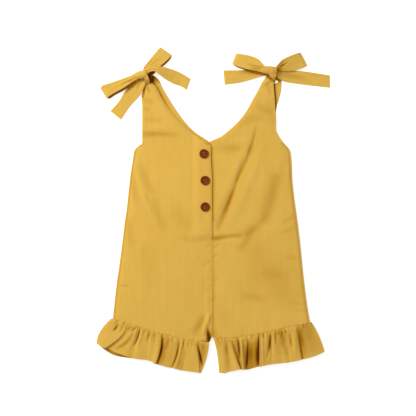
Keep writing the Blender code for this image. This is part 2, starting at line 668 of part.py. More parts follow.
def knot(name, size):
    """A tied knot: a drum between two flat ends, fuller in its middle."""
    start, end = Vector((size.x0, size.y0)), Vector((size.x1, size.y1))
    axis = (end - start).normalized()
    aside = Vector((-axis.y, axis.x))
    mesh = bmesh.new()
    bmesh.ops.create_cone(mesh, cap_ends=True, segments=KNOT_SIDES, radius1=1.0, radius2=1.0,
                          depth=2.0)
    long_edges = [edge for edge in mesh.edges if abs(edge.verts[0].co.z - edge.verts[1].co.z) > 1.0]
    bmesh.ops.subdivide_edges(mesh, edges=long_edges, cuts=KNOT_RINGS - 1)
    for vert in mesh.verts:
        around, up, along = vert.co
        full = KNOT_END + (1.0 - KNOT_END) * math.sqrt(1.0 - along * along)
        centre = (start + end) / 2.0 + axis * (along * (end - start).length / 2.0)
        centre += aside * (around * full * size.across)
        vert.co = romper_point(centre.x, centre.y, size.z + up * full * size.up)
    bmesh.ops.recalc_face_normals(mesh, faces=mesh.faces[:])
    return finish(name, mesh, cloth())


# --------------------------------------------------------------------------------- buttons

def button(name, x, y):
    """A turned wooden button with four holes, lying on the highest cloth under it."""
    radius = BUTTON_DIAMETER / 2.0
    under = [(x + radius * math.cos(angle), y + radius * math.sin(angle))
             for angle in (eighth * math.pi / 4.0 for eighth in range(8))]
    rest = max(front_right_rest(*spot) for spot in under + [(x, y)]) + WALL + SEAM_GAP
    mesh = bmesh.new()
    rim = [mesh.verts.new((share * radius * MM, 0.0, level * BUTTON_THICKNESS * MM))
           for share, level in BUTTON_PROFILE]
    outline = [mesh.edges.new(pair) for pair in zip(rim, rim[1:])]
    bmesh.ops.spin(mesh, geom=rim + outline, cent=(0.0, 0.0, 0.0), axis=(0.0, 0.0, 1.0),
                   angle=2.0 * math.pi, steps=BUTTON_SIDES, use_merge=True)
    bmesh.ops.remove_doubles(mesh, verts=mesh.verts[:], dist=0.00001)
    bmesh.ops.recalc_face_normals(mesh, faces=mesh.faces[:])
    piece = finish(name, mesh, wood())
    piece.location = romper_point(x, y, rest)
    piece.rotation_euler = (0.0, 0.0, math.radians(BUTTON_TURN))
    holes = button_holes(name)
    holes.location, holes.rotation_euler = piece.location, piece.rotation_euler
    cut = piece.modifiers.new("holes", "BOOLEAN")
    cut.object = holes
    cut.operation = "DIFFERENCE"
    cut.solver = "EXACT"
    return piece


def button_holes(name):
    """Four round cutters in a square, for one button."""
    mesh = bmesh.new()
    radius = BUTTON_HOLE / 2.0 * MM
    spread = BUTTON_HOLE_SPACING / math.sqrt(2.0) * MM
    for quarter in range(4):
        angle = (quarter + 0.5) * math.pi / 2.0
        made = bmesh.ops.create_cone(mesh, cap_ends=True, segments=HOLE_SIDES, radius1=radius,
                                     radius2=radius, depth=4.0 * BUTTON_THICKNESS * MM)
        bmesh.ops.translate(mesh, verts=made["verts"],
                            vec=(spread * math.cos(angle), spread * math.sin(angle), 0.0))
    data = bpy.data.meshes.new(name + "_cutter")
    mesh.to_mesh(data)
    mesh.free()
    cutter = bpy.data.objects.new(name + "_cutter", data)
    cutter.hide_render = True
    cutter.display_type = "WIRE"
    bpy.context.scene.collection.objects.link(cutter)
    return cutter


# ---------------------------------------------------------------------------------- romper

def build():
    for old in list(bpy.data.objects):
        bpy.data.objects.remove(old)

    panel("back_right", BACK_RIGHT, BACK_CELLS, BACK_STEP, back_rest)
    panel("back_left", BACK_LEFT, BACK_CELLS, BACK_STEP, back_rest)
    panel("front_left", FRONT_LEFT, PANEL_CELLS, PANEL_STEP, front_left_rest)
    panel("front_right", FRONT_RIGHT, PANEL_CELLS, PANEL_STEP, front_right_rest)

    ruffle("ruffle_back_right", RUFFLE_BACK_RIGHT, BACK_RIGHT, BACK_RUFFLE_CELLS, back_ruffle_rest)
    ruffle("ruffle_back_left", RUFFLE_BACK_LEFT, BACK_LEFT, BACK_RUFFLE_CELLS, back_ruffle_rest)
    ruffle("ruffle_front_right", RUFFLE_FRONT_RIGHT, FRONT_RIGHT, RUFFLE_CELLS, front_ruffle_rest)
    ruffle("ruffle_front_left", RUFFLE_FRONT_LEFT, FRONT_LEFT, RUFFLE_CELLS, front_ruffle_rest)

    for name, rows in (("loop_up_right", LOOP_UP_RIGHT), ("loop_out_right", LOOP_OUT_RIGHT),
                       ("loop_in_left", LOOP_IN_LEFT), ("loop_out_left", LOOP_OUT_LEFT),
                       ("tail_in_right", TAIL_IN_RIGHT), ("tail_out_right", TAIL_OUT_RIGHT),
                       ("tail_in_left", TAIL_IN_LEFT), ("tail_out_left", TAIL_OUT_LEFT)):
        ribbon(name, rows)
    knot("knot_right", KNOT_RIGHT)
    knot("knot_left", KNOT_LEFT)

    for name, x, y in BUTTON_CENTRES:
        button(name, x, y)


build()
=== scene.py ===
"""Looks of a baby romper laid flat: linen cloth, gathered ruffles, tied bows, wooden buttons.

Right and left are the wearer's.  Tables are in millimetres: x runs from the centre-front
line towards the wearer's left, y up from the lowest point of the hem, z up from the surface
that the romper lies on.  Each piece of cloth is a fine sheet on the form of its CAD solid.
"""

import math
from collections import namedtuple

import bmesh
import bpy
from mathutils import Matrix, Vector, noise
from mathutils.bvhtree import BVHTree


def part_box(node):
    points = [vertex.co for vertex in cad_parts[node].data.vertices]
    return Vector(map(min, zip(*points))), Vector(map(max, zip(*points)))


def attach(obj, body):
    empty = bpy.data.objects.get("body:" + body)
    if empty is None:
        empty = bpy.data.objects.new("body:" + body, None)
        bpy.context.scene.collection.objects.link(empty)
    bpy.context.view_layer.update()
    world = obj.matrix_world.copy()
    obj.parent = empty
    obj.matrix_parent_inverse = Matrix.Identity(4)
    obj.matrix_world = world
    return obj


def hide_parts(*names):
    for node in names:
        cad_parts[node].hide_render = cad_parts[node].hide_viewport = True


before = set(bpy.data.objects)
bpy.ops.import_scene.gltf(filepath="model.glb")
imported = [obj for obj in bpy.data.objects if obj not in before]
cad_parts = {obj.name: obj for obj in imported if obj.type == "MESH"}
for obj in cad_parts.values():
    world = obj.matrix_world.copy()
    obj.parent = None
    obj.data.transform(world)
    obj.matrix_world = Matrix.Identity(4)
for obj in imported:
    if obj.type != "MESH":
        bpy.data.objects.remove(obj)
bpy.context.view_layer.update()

MM = 0.001

# ---------------------------------------------------------------- driving sizes, millimetres

ORIGIN_X = 1.8            # middle of the outline, which is the part's origin
ORIGIN_Y = 244.4
WALL = 1.2                # cloth wall of a panel, doubled at its edges
RUFFLE_WALL = 0.8
TIE_WALL = 1.2
SEAM_GAP = 0.3
SEAM_TUCK = 1.2           # how far a ruffle reaches under the panel's edge
SEAM_UNDER = 0.5          # how much lower it lies there
RUFFLE_DEPTH = 46.0       # how far a ruffle hangs, on an average
RUFFLE_OUT = 0.10         # the part of it over which it comes out from under the panel
LAP_GAP = 0.5
LAP_WIDTH = 18.0
LAP_END = 211.0
LAP_FADE = 12.0
LAP_SEWN = 22.0           # how far above its end the lap is sewn down flat
LAP_RAMP = 13.0
LAP_CLEAR = 1.0
EDGE_ROLL = 0.58          # how far the placket's edge rolls down on the underlap
EDGE_PRESSED = 0.55       # share of the wall that is left at the placket's pressed edge
NECK_ROLL = 0.95          # how far the fronts' neck edges roll down on the backs
NECK_Y = 352.0
AIR = 2.6
AIR_FULLNESS = 4
AIR_WAVES = ((0.45, 34.0, 52.0, 3.1), (0.22, 13.0, 25.0, 8.4))    # height, two lengths, seed
AIR_LIFT = 0.7            # how far a front stands clear at least, away from its sides
CREASE_BLUNTNESS = 0.6
CREASE_REACH = 2.5        # how many of its widths a crease reaches aside
GATHER_REACH = 0.35
GATHER_LIFT = 1.5         # how far the lowest places of a ruffle stand up
FOLD_DEPTH = 3.2          # how deep a fold is where its cloth lies in full shade
UNDERARM_Y = 345.0        # top of the side seams
SIDE_SEAM = 2.6           # how far in the groove of a side seam lies
SIDE_GROOVE = 0.5         # how deep that groove is
SIDE_PUCKER = 0.15        # how far the cloth puckers beside it
LEG_PUCKER = 1.2          # how far it puckers beside the leg seam
FRONT_CLOSE = -0.5        # how far a front moves up at its side seam, to meet the back
BACK_CLOSE = 0.45         # how far a back moves up there
SEAM_LAP = 2.4            # how far the left front runs on under the centre seam
SEAM_PRESSED = 0.14       # share of the wall that is left at the pressed centre seam
CROTCH_X = -4.2           # where the legs part
CROTCH_Y = 52.0
SEAM_CLEAR = 0.15         # how far the two fronts lie apart there
PLACKET_SHADE = 0.70      # how deep the left front is shaded beside the placket's edge
SEAM_SHADE = 0.24         # how deep both fronts are shaded beside the centre seam
LAP_END_SHADE = 0.27      # how deep the left front is shaded where the placket ends
END_SHADE = 11.0          # how far from its end a tie is in the shade of a knot
LOOP_SHADE = 0.72         # how deep a loop is shaded inside, where it turns back
TIE_PLEAT = 0.8
HEM_STITCHED = 0.87       # the part of the way down a ruffle where its hem is stitched
FAR = 60.0                # beyond the reach of any edge's roll or shade, and above every piece

GRAIN_UNIT = 100.0        # millimetres of cloth to one unit of the weave's map
THREAD_COUNT = 160.0      # threads to one such unit

FRONT_REST = WALL + SEAM_GAP
LAP_RISE = WALL + LAP_GAP

# ---------------------------------------------------------------------------- mesh fineness

PANEL_STEP = 1.6
PANEL_CELLS = 76
BACK_CELLS = 34
RIM = (0.0, 0.25, 0.7, 1.3, 1.9, 2.6, 3.4)     # distances from an edge with a line of points
RIM_ROUND = 0.8                 # how far in an edge is rounded
RIM_WALL = 0.3                  # share of the wall that is left at the very edge
GATHER_CELLS = 9
RUFFLE_DOWN = 46
TIE_STEP = 1.4
TIE_CELLS = 14
RUFFLE_CELL = 3.0               # width of a ruffle's cell, as its rolled ends count it
KNOT_SIDES = 64
KNOT_RINGS = 40


def table(kind, *rows):
    """Rows of one kind, each given by its values."""
    return tuple(kind(*row) for row in rows)


# ---------------------------------------------------------------------- tables, millimetres

# A section runs across a panel from its side edge to its inner edge, which is the neck or
# the centre.  sag drops the section between its ends, and lift raises the strap's tip.
Section = namedtuple("Section", "side_x side_y inner_x inner_y sag lift", defaults=(0, 0))

FRONT_RIGHT = table(Section,
    (-100.4, 446.2, -94.8, 448.2, 0, 1.2), (-98.8, 439.6, -91.5, 442.4, 0, 0.9),
    (-99.8, 433.5, -90.6, 437, 0, 0.6), (-103.5, 423.8, -83.3, 428, 0, 0.2),
    (-105.6, 414.5, -76.5, 414.3), (-104.8, 402.8, -69.2, 402.3), (-104.5, 390, -60.5, 390.2),
    (-104.6, 375, -46.2, 374.6), (-104.6, 360, -29.6, 359.9), (-104.7, 345.4, -14.9, 349.4),
    (-109.9, 340.6, -5.2, 343.8), (-116.1, 334, -1.7, 338.8), (-118.6, 319.5, -1.5, 322.5),
    (-121.7, 301.5, -0.6, 303), (-123.7, 284, 0.6, 286), (-125, 273, -0.2, 276),
    (-127.3, 250.5, 0.2, 251), (-131.2, 223.5, 0.6, 222), (-134.2, 198, 0.6, 195),
    (-137.9, 168, 0.6, 163), (-141.5, 144, 0.6, 132, 0.6), (-144.1, 124.5, 0.6, 105, 1.4),
    (-146.3, 104, 0.5, 80, 2.6), (-147.8, 90, -0.2, 56.6, 4.2), (-148.7, 80.4, -3.7, 47, 5.4))

FRONT_LEFT = table(Section,
    (91, 448.6, 82.4, 449, 0, 1.2), (92, 442, 80.2, 443.4, 0, 0.9),
    (92.2, 433.5, 75, 435.6, 0, 0.5), (93.3, 420, 67.4, 420.9, 0, 0.1), (94.4, 408, 59.9, 407.7),
    (95.1, 394.5, 52, 393.5), (95.9, 381, 42.9, 381), (96, 366, 28.5, 366.6),
    (99.9, 355.5, 12.8, 354.3), (108, 344.4, -2.6, 347.2), (117, 333.6, -17, 338.5),
    (119.5, 315, -LAP_WIDTH, 320), (120.4, 289.5, -LAP_WIDTH, 293), (122.8, 267, -LAP_WIDTH, 268),
    (126.4, 240, -LAP_WIDTH, 242), (128.5, 225, -14.5, 225), (130.6, 208, -SEAM_LAP, 208),
    (133, 187, -SEAM_LAP, 186), (136, 156, -SEAM_LAP, 153), (138.9, 130.5, -SEAM_LAP, 122, 0.8),
    (142.3, 104, -SEAM_LAP, 90, 2.2), (145.2, 87, -SEAM_LAP, 68, 4), (146.7, 79, -1.6, 57.5, 4.9),
    (147.4, 75.3, 1.1, 53.4, 5.2))

BACK_RIGHT = table(Section,
    (-95.3, 447, -87.8, 446.3), (-97.5, 438, -80.1, 440.3), (-100.8, 427.5, -73.9, 427.5),
    (-103.5, 414, -66, 414), (-103.7, 397.5, -55.6, 397.5), (-103.7, 379.5, -42.6, 379.2),
    (-103.7, 361.5, -26.1, 361.8), (-103.9, 345.2, -12, 352.2), (-109.1, 339.6, -3.8, 346.5),
    (-115.7, 333.8, -0.3, 340.5), (-121.5, 300, -0.3, 303), (-127.1, 250.5, -0.3, 251),
    (-134, 198, -0.3, 195), (-141.3, 144, -0.3, 132, 0.6), (-146.1, 104, -0.3, 80, 2.6),
    (-148.7, 80.4, -3.7, 47, 5.4))

BACK_LEFT = table(Section,
    (103.6, 440, 99, 440.6), (104.3, 434.5, 98.6, 435.4), (104.2, 431.5, 91.6, 433.2),
    (103.6, 425, 90, 426), (100.4, 411, 72, 413), (96.9, 399, 63, 400), (95.4, 385.5, 53.3, 387),
    (95.4, 367.5, 34.5, 368.5), (99.5, 355.5, 15.8, 354.4), (107.6, 344.3, 3, 346.1),
    (116.6, 333.3, 0.3, 340.5), (120.2, 289.5, 0.3, 291), (126.2, 240, 0.3, 240),
    (132.8, 187, 0.3, 186), (138.7, 130.5, 0.3, 122, 0.8), (145, 87, 0.3, 68.5, 4),
    (147.4, 75.3, 1.1, 53.4, 5.2))

# How wide half the body is, how much of the air is under it, by height.
Girth = namedtuple("Girth", "y half air")

GIRTHS = table(Girth,
    (445, 108, 0.1), (390, 108, 0.25), (345, 112, 0.45), (300, 121, 0.9), (230, 130, 1),
    (150, 139, 0.9), (95, 146, 0.55), (45, 149, 0.2))

# A crease is a soft trough from one end to the other, or a ridge where its depth is below
# zero.  bow carries its middle sideways.
Crease = namedtuple("Crease", "x0 y0 x1 y1 width depth bow", defaults=(0,))

PANEL_CREASES = table(Crease,
    # across the left chest, from the armhole down to the placket
    (67.5, 372, 35, 284, 2.9, 1.3, 3.4), (47.5, 324, 18, 238, 2.6, 1.3, 2),
    (32, 276, 7, 212, 4.6, 1.35, 1), (80, 352, 27, 222, 6, -0.9, 3), (54, 352, 0, 232, 6, -0.9, 3),
    # the softer one beside it, and its turn towards the end of the placket
    (100, 310, 76, 222, 9.5, 0.9, 2), (86, 242, 34, 204, 6.5, 0.65, 8),
    (103, 325, 98, 296, 6, -0.7),
    # beside the end of the placket
    (-2, 201, 46, 205.5, 3.2, 1.15, 1), (8, 195, 48, 197, 4, -0.4), (-30, 198.5, 2, 200, 3.2, 0.55),
    (-50, 205, -24, 197, 5, 0.3),
    # chest and straps
    (-11, 345, -3, 340.4, 1.6, 1.1), (2, 337.5, 68, 334.5, 7.5, 0.6), (15, 348, 60, 345, 5, -0.4),
    (38, 371, 82, 386, 7.5, 0.5, 1), (92, 368, 88, 412, 8, 0.5), (66, 403, 90, 388, 5.5, 0.6),
    (91.5, 438.5, 76.5, 428.5, 1.9, 0.8), (74.5, 451, 95.5, 435.2, 2.2, 2.8),
    (83, 436, 90, 415, 3, 0.5), (-110, 358, -46, 355, 4.8, 0.9, 1.5),
    (-112, 356.5, -82, 356, 6, 0.35), (-104, 367, -60, 366, 5, -0.6),
    (-106.5, 411, -86, 404, 4, 0.5), (-102, 398, -92, 392, 3.5, 0.4),
    (-106, 381, -72, 377, 4.5, 0.35), (-98, 434, -92, 419, 2.2, 0.9),
    (-97.6, 440, -104, 411, 2.3, 2.8, -0.6),
    # down the right side
    (-114, 322, -82, 223, 3.6, -1.1, -4.8), (-104, 312, -86, 266, 6, 0.6, -3),
    (-88, 264, -68, 210, 7, 0.45, -2), (-118, 300, -110, 252, 5, 0.5, -2),
    (-60, 246, -30, 214, 9, 0.3), (-126, 232, -118, 188, 6, 0.4),
    (-139, 130.6, -124.5, 130.2, 1.4, 0.8), (-123.5, 176, -126, 132, 1.6, -0.3),
    (-104, 200, -92, 120, 12, 0.25, 4),
    # left hip and thigh
    (63, 222, 40, 182, 6, 0.7, 2), (50, 200, 126, 100, 26, 0.4), (42, 116, 84, 110, 6, 0.5),
    (116, 105, 143, 102.5, 3, 0.3), (120, 95.5, 146, 93, 3, 0.3), (108, 176, 130, 170, 4, 0.4),
    (104, 224, 127, 236, 4, 0.45), (100, 208, 126, 218, 3.6, 0.35), (72, 150, 118, 142, 8, 0.3, 2),
    # where the legs part
    (-2.5, 92, -13, 58, 3, -2.6), (-10, 88, -27, 56, 5.5, 1), (-8, 74, -3.4, 38, 2.4, 2.6),
    (3.5, 66, 8, 50, 3, 0.7), (-17.5, 48.2, -4.5, 48, 1.4, 1.6),
    # the allowance of the centre seam, and what it draws up beside it
    (-6.6, 212, -6.6, 76, 4, -0.45), (-12.5, 206, -12.5, 96, 2, 0.15),
    (0, 186, 14, 194.5, 2.6, 0.55), (0, 172, 9, 180, 2.4, 0.45), (0, 138, 11, 143, 2.6, 0.35),
    (0, 108, 9, 115, 2.4, 0.35), (-13, 185, 0, 193, 2.4, 0.5), (-10, 176.5, 0, 181, 2.1, 0.35),
    (-14, 160, 0, 169, 2.7, 0.55), (-8, 150, 0, 154, 2, 0.3), (-13, 133, 0, 142, 2.5, 0.45),
    (-12, 121, 0, 126, 2.4, 0.3), (-9, 103, 0, 108.5, 2.2, 0.35))

# Folds of the ruffles, each from near the leg seam down.
RUFFLE_CREASES = table(Crease,
    # right leg, from the outside in
    (-138.5, 74.5, -148, 62, 1.6, 2.8), (-132, 73, -137.5, 60, 1.6, 1.6),
    (-110.5, 70.5, -122, 61.5, 1.6, 1.5), (-119, 69.5, -126.5, 64.5, 1.4, 1),
    (-107.4, 70, -117.4, 40, 1.3, 2.9, 1.6), (-104.5, 64, -113, 40, 1.8, -1.2, 1.6),
    (-101, 65.5, -103, 56, 1.4, 1), (-94, 60, -97.5, 46, 1.6, 0.8), (-92, 62.5, -96, 53, 1.2, 0.8),
    (-84.6, 61, -86, 46, 1.4, 0.9), (-88.5, 59, -89.5, 50, 1.3, 0.9),
    (-75.6, 62.5, -83.8, 13, 1.8, 1.8, 3.6), (-80.5, 56, -88.5, 14, 3, -1, 3.2),
    (-72, 56.5, -73, 48, 1.3, 1.1), (-63, 53, -68.5, 34, 2, 1.7), (-58, 53, -59.5, 45, 1.3, 0.9),
    (-48.6, 52.5, -60.6, 7, 1.4, 3.4, 2.6), (-44, 50, -54.5, 9, 3.2, -1.1, 2.4),
    (-41, 52, -43.5, 36, 1.3, 1.4), (-35.5, 50, -36, 36, 1.6, 0.8), (-30, 48.5, -30, 41, 1.2, 0.9),
    (-26, 48, -25.5, 40, 1.2, 0.8), (-22.3, 46, -13.6, 9, 1.7, 2.8), (-14, 46.5, -12.5, 34, 2.2, 1),
    # left leg, from the inside out
    (21.6, 49, 23, 26, 2.2, 0.9), (12, 50, 14, 38, 1.6, 0.6), (28.6, 51.5, 43.2, 5, 1.6, 3.4),
    (25.5, 48, 37, 12, 1.9, -1), (38.6, 54.5, 41.6, 20, 1.6, 2.8, 1), (35, 52, 38.5, 30, 1.4, -0.8),
    (43.6, 52.5, 47.6, 3, 1.8, -3.6), (53.6, 55, 51.2, 8, 1.5, 2.2, 1), (59, 46, 58, 20, 4, 1.1),
    (61.5, 58, 61, 49, 1.3, 0.9), (70.2, 62, 69.4, 10, 1.7, 3.4), (68, 38, 68.6, 12, 2.6, 1.2),
    (74.8, 58, 76.2, 16, 1.7, -1.4), (76.8, 60, 77, 52, 1.2, 1.2),
    (87.4, 63, 82, 22, 1.3, 1.9, 1.4), (83, 60, 80.5, 34, 1.6, -0.9),
    (95.3, 64.5, 96, 43, 1.6, 1.6), (91, 62, 91, 40, 1.5, -0.8), (101, 65.5, 100.2, 56, 1.3, 1.5),
    (104.4, 64.5, 104.2, 52, 1.4, 1.6), (105.5, 64, 106.5, 36, 5, 1.5),
    (111, 66, 111.4, 58, 1.3, 1.2), (116.6, 60, 119.6, 38, 1.7, 2.1),
    (122.4, 62, 126, 28, 2.1, -1.4), (127, 71.5, 136.2, 20, 2.3, 1.7), (131, 66, 137, 38, 3.6, 1.2),
    (136, 74, 139.4, 66, 1.3, 1.7), (141.6, 76, 144, 69, 1.2, 1), (147, 76, 149.4, 69.5, 1.2, 0.9),
    (142, 74, 150, 46, 6, 0.6))

# Where a ruffle lies in broad shade under its folds; depth is how deep the shade is.
RUFFLE_SHADES = table(Crease,
    (-118, 62, -147, 36, 2.6, 0.5, 4.6), (-70.5, 55, -76, 8, 6.5, 0.38),
    (-21.5, 47, -15, 6, 2.6, 0.5), (-10, 52, -16, 14, 4, 0.35), (-52, 46, -57, 8, 3, 0.2, 2),
    (52.4, 44, 52, 1, 2.6, 0.5), (34.6, 50, 43.4, 8, 2.2, 0.4), (59, 50, 58, -4, 8.5, 0.52),
    (67.5, 54, 68.5, 5, 3.6, 0.5), (83, 64, 84.5, 30, 3, 0.1), (104, 72, 106, 26, 10, 0.16),
    (129.5, 80, 139.5, 18, 4.6, 0.34), (143, 84, 150, 28, 13, 0.2))

# Creases of the ties where their knots draw them together.
LOOP_UP_CREASES = table(Crease,
    (-93.5, 458.5, -80, 470.5, 1.8, 0.7), (-96.5, 461, -88, 471, 1.5, 0.5))
LOOP_OUT_RIGHT_CREASES = table(Crease,
    (-115, 441, -136, 431.5, 1.6, 0.8), (-114, 438.8, -124, 434, 1.2, 0.8))
TAIL_OUT_RIGHT_CREASES = table(Crease,
    (-106, 445, -133, 422, 4, 2), (-106, 438, -113, 424, 2.4, 0.5))
TAIL_IN_LEFT_CREASES = table(Crease,
    (86, 449, 40, 455, 4.2, 2.1))
TAIL_OUT_LEFT_CREASES = table(Crease,
    (100, 449, 141, 441.5, 4.2, 0.9))
LOOP_IN_CREASES = table(Crease,
    (79, 455, 54, 462, 1.8, 1.1), (79, 451.6, 56, 456.5, 2, 1.3))
LOOP_OUT_LEFT_CREASES = table(Crease,
    (99.5, 457.2, 114, 466, 1.4, 1.5, -0.6), (103, 459.5, 109, 461.5, 1.8, 1.2),
    (97.5, 455.6, 112, 455.2, 1.2, 0.8), (96.5, 453.6, 112, 450.2, 1.6, 1.5),
    (101, 461, 110, 468.5, 1.3, 0.8))

# A gather is one line of a ruffle, from its point on the leg seam to its point on the hem.
# bend carries its middle sideways, and swell and rise are its height above its lowest place
# a third of the way down and at the hem: high on a crest, low in a fold.  Where a line lies
# back past the one before it, the cloth is tucked under its crest.
Gather = namedtuple("Gather", "seam_x hem_x hem_y bend swell rise")

RUFFLE_FRONT_RIGHT = table(Gather,
    (-151.8, -173, 45.2, -4.6, 0.3, 0.6), (-141, -167.3, 41.1, 1, 1.5, 2.6),
    (-128.3, -160.7, 38.5, 9, 1.9, 3.4), (-128.9, -163.4, 38.6, 9, 0.7, 1.4),
    (-125.3, -157.6, 38, 11, 0.1, 0), (-118.5, -144, 31, 8, 1.3, 1.2),
    (-112.5, -132, 27, 4, 1.9, 2.2), (-109.7, -123.2, 23.5, 1, 0.3, 1),
    (-107.7, -120.5, 23.1, 1, 0, 0.9), (-103.5, -111, 21.5, 0, 2, 2.4),
    (-93.9, -100, 20.4, 0, 1.3, 1.9), (-89.3, -95.4, 19.6, 0.4, 1.9, 2.6),
    (-84.5, -91.6, 18.6, 1.2, 1.5, 2.4), (-77.2, -84.8, 15, 3.6, 2.6, 4),
    (-79.6, -87.4, 14.6, 3.6, 1, 1.6), (-75.6, -82.6, 13.6, 3.4, 0, 0.1),
    (-63, -69, 9.9, 1, 1.4, 1.5), (-51.8, -62.2, 8.3, 1.5, 0.1, 0.3), (-49.8, -60, 8, 1.5, 0, 0.2),
    (-45.8, -55.5, 7.2, 1.5, 2.4, 3.2), (-41.5, -48, 5.1, 0.5, 0.5, 1.6),
    (-33, -37.5, 3.6, 0, 1.8, 2.4), (-22.5, -18.9, 1.2, 0, 2, 3.2), (-22, -20.9, 0.9, 1, 0.9, 1.6),
    (-18.6, -18.4, 0.7, 2, 0.5, 0.6), (-4, -16.4, 0.9, 2.6, 0.3, 0.4))

RUFFLE_FRONT_LEFT = table(Gather,
    (1.6, 10.4, 0.6, 2, 0.3, 0.5), (11.3, 18.8, 0.5, 0.8, 1.5, 2.2), (19.5, 26.3, 2.6, 0, 0.4, 1.2),
    (28.7, 42.5, 6.3, 0.5, 2.7, 4.5), (27, 39.8, 6.1, 0.5, 1, 1.6), (30.5, 43.9, 5.6, 0.5, 0, 0),
    (38.3, 45.4, 5.6, 0, 0.1, 0.4), (41.8, 47.2, 5.9, 0, 2.6, 3.7), (47.3, 51, 5.6, 0, 0.6, 0.9),
    (50.4, 55.5, 6.3, 0, 1.3, 1.4), (54.5, 60, 7.5, 0, 0.3, 0.8), (62.3, 64.8, 8.9, 0, 0.8, 0.8),
    (68.8, 68.4, 9.9, 0, 0.1, 0.2), (70.6, 74, 10.2, 0, 0, 0.1), (73.6, 75.4, 11.4, 0, 2.7, 4.2),
    (81.8, 82.5, 12.5, 0, 2, 2.5), (87.9, 88.5, 13.5, 0, 0.2, 1.6), (92.3, 96, 14.6, 0, 1.9, 2.4),
    (97.2, 103.5, 15.3, 0, 0.5, 1.5), (102, 109.5, 15.9, 0, 1.7, 2.2),
    (107.3, 114.8, 16.5, 0, 0.4, 1.4), (114.8, 122.3, 18, 0, 1.7, 2.6),
    (126.6, 133.6, 20.4, 0, 1.7, 2.9), (127.2, 133, 20.6, 0, 0.7, 1.3),
    (129.9, 136.5, 21, 0, 0.1, 0.4), (136.5, 145.5, 23.4, 0, 1.2, 1.7),
    (142.5, 156, 26.7, 0, 0.4, 1.9), (149.2, 168.4, 32.4, 2.2, 0.2, 0.5))

RUFFLE_BACK_RIGHT = table(Gather,
    (-151, -171.5, 45.2, -4.4, 0, 0), (-135, -161, 34.8, 2, 0, 0), (-120, -144.5, 26, 4, 0, 0),
    (-108, -126, 22.8, 1, 0, 0), (-90, -95, 19.8, 0, 0, 0), (-60, -66, 11.5, 0, 0, 0),
    (-30, -34, 5, 0, 0, 0), (-4, -16.8, 1.8, 2.4, 0, 0))

RUFFLE_BACK_LEFT = table(Gather,
    (1.6, 11, 1.6, 2, 0, 0), (30, 42, 6.8, 0.5, 0, 0), (60, 65, 11.6, 0, 0, 0),
    (90, 94, 17.2, 0, 0, 0), (120, 128, 22.6, 0, 0, 0), (148.6, 167.4, 33, 2.2, 0, 0))

# A band is one place along a tie: its two edges, the height of its middle, and how much
# higher edge b is than edge a.
Band = namedtuple("Band", "ax ay bx by z bank", defaults=(0,))

LOOP_UP_RIGHT = table(Band,
    (-103.6, 450.5, -97.6, 446.5, 9), (-101.6, 458, -92, 450.5, 8.6),
    (-96.8, 464.4, -83.3, 455.3, 7), (-90, 473.1, -73.5, 462.6, 6.2),
    (-80.1, 484.8, -62.7, 472.8, 6), (-77.6, 487.8, -60.2, 475.8, 4),
    (-79.7, 484.5, -61.7, 471.9, 1.2), (-88.5, 472.1, -72, 461.1, 1.4),
    (-94.5, 461.7, -84, 454.5, 3.2), (-98.4, 454.9, -95.6, 448.3, 4.8))

TAIL_IN_RIGHT = table(Band,
    (-98.6, 455.6, -95.8, 449.6, 9.8), (-89.3, 460.2, -87, 451.6, 9.6),
    (-80.5, 459.6, -79.2, 447, 8.8), (-69.8, 457.7, -70.5, 440.6, 5.6),
    (-55.1, 453.6, -57, 433.5, 2), (-43, 448, -47.2, 430.2, 0.6), (-32.1, 441, -38.1, 424.5, 0.6))

LOOP_OUT_RIGHT = table(Band,
    (-108, 448.2, -106.5, 441, 9), (-116.4, 446.8, -113, 438.6, 9.8),
    (-123, 444.2, -120, 434.6, 9.2), (-136.5, 439.6, -133.4, 425.9, 7.8),
    (-151.5, 434.6, -145.5, 419.6, 6.4), (-164.7, 430.2, -154.6, 413.9, 5.8),
    (-166.8, 427.6, -157, 411.3, 3.6), (-163.5, 426.6, -153, 411.8, 1.4),
    (-150, 429.3, -144.4, 417.2, 1.6), (-135, 434.1, -132.2, 423.2, 3.8),
    (-121.5, 439.8, -118.4, 432, 6), (-116.1, 443.7, -113, 437.1, 7))

TAIL_OUT_RIGHT = table(Band,
    (-110.5, 446.5, -98.5, 446.5, 4.4), (-112.6, 440.2, -98.4, 440.4, 4.4, 0.2),
    (-117.6, 435.6, -100.6, 432.4, 4, 0.8), (-125, 429, -105, 420.6, 2.6, 1.2),
    (-131.4, 420.8, -111, 413, 1.3, 0.6), (-140.3, 406.5, -122.3, 400.5, 0.6),
    (-152.6, 393, -136.6, 380, 0.6))

LOOP_IN_LEFT = table(Band,
    (78, 459.3, 78, 448.8, 9.4), (69, 469.8, 66, 452.1, 8.6), (57, 474.9, 52.5, 454.7, 7.2),
    (41.3, 477.9, 36, 459.9, 6), (36.6, 478.6, 30.6, 462.6, 3.8), (39.9, 476.1, 36, 459.2, 1.4),
    (57, 471.9, 54, 452.6, 2.4), (69, 465.9, 68.3, 448.4, 5), (78, 457.5, 78, 446.6, 6.4))

TAIL_IN_LEFT = table(Band,
    (83, 452.4, 84, 446, 5.2), (76, 452.6, 76, 444.8, 4.4), (67.5, 453.3, 63.8, 441.4, 1.8),
    (54, 454.2, 43.5, 435.8, 0.6), (39, 454.1, 30, 433.7, 0.6), (17.2, 454, 19, 432.4, 0.6))

LOOP_OUT_LEFT = table(Band,
    (96.4, 459.6, 96.6, 450, 8.8, -1), (105.9, 469.5, 108, 452, 7.4, -4.6),
    (116.7, 474.6, 120, 452.7, 6.2, -6), (128.3, 479.1, 138.6, 458.1, 5.8, -3),
    (132, 480, 141.9, 460.1, 4.2), (129.3, 477.3, 137.4, 458.2, 2.6),
    (117.8, 471.6, 121.5, 458.1, 2.2), (107.1, 465.6, 109.4, 456.5, 3.2),
    (97.4, 457.5, 97.4, 452, 5))

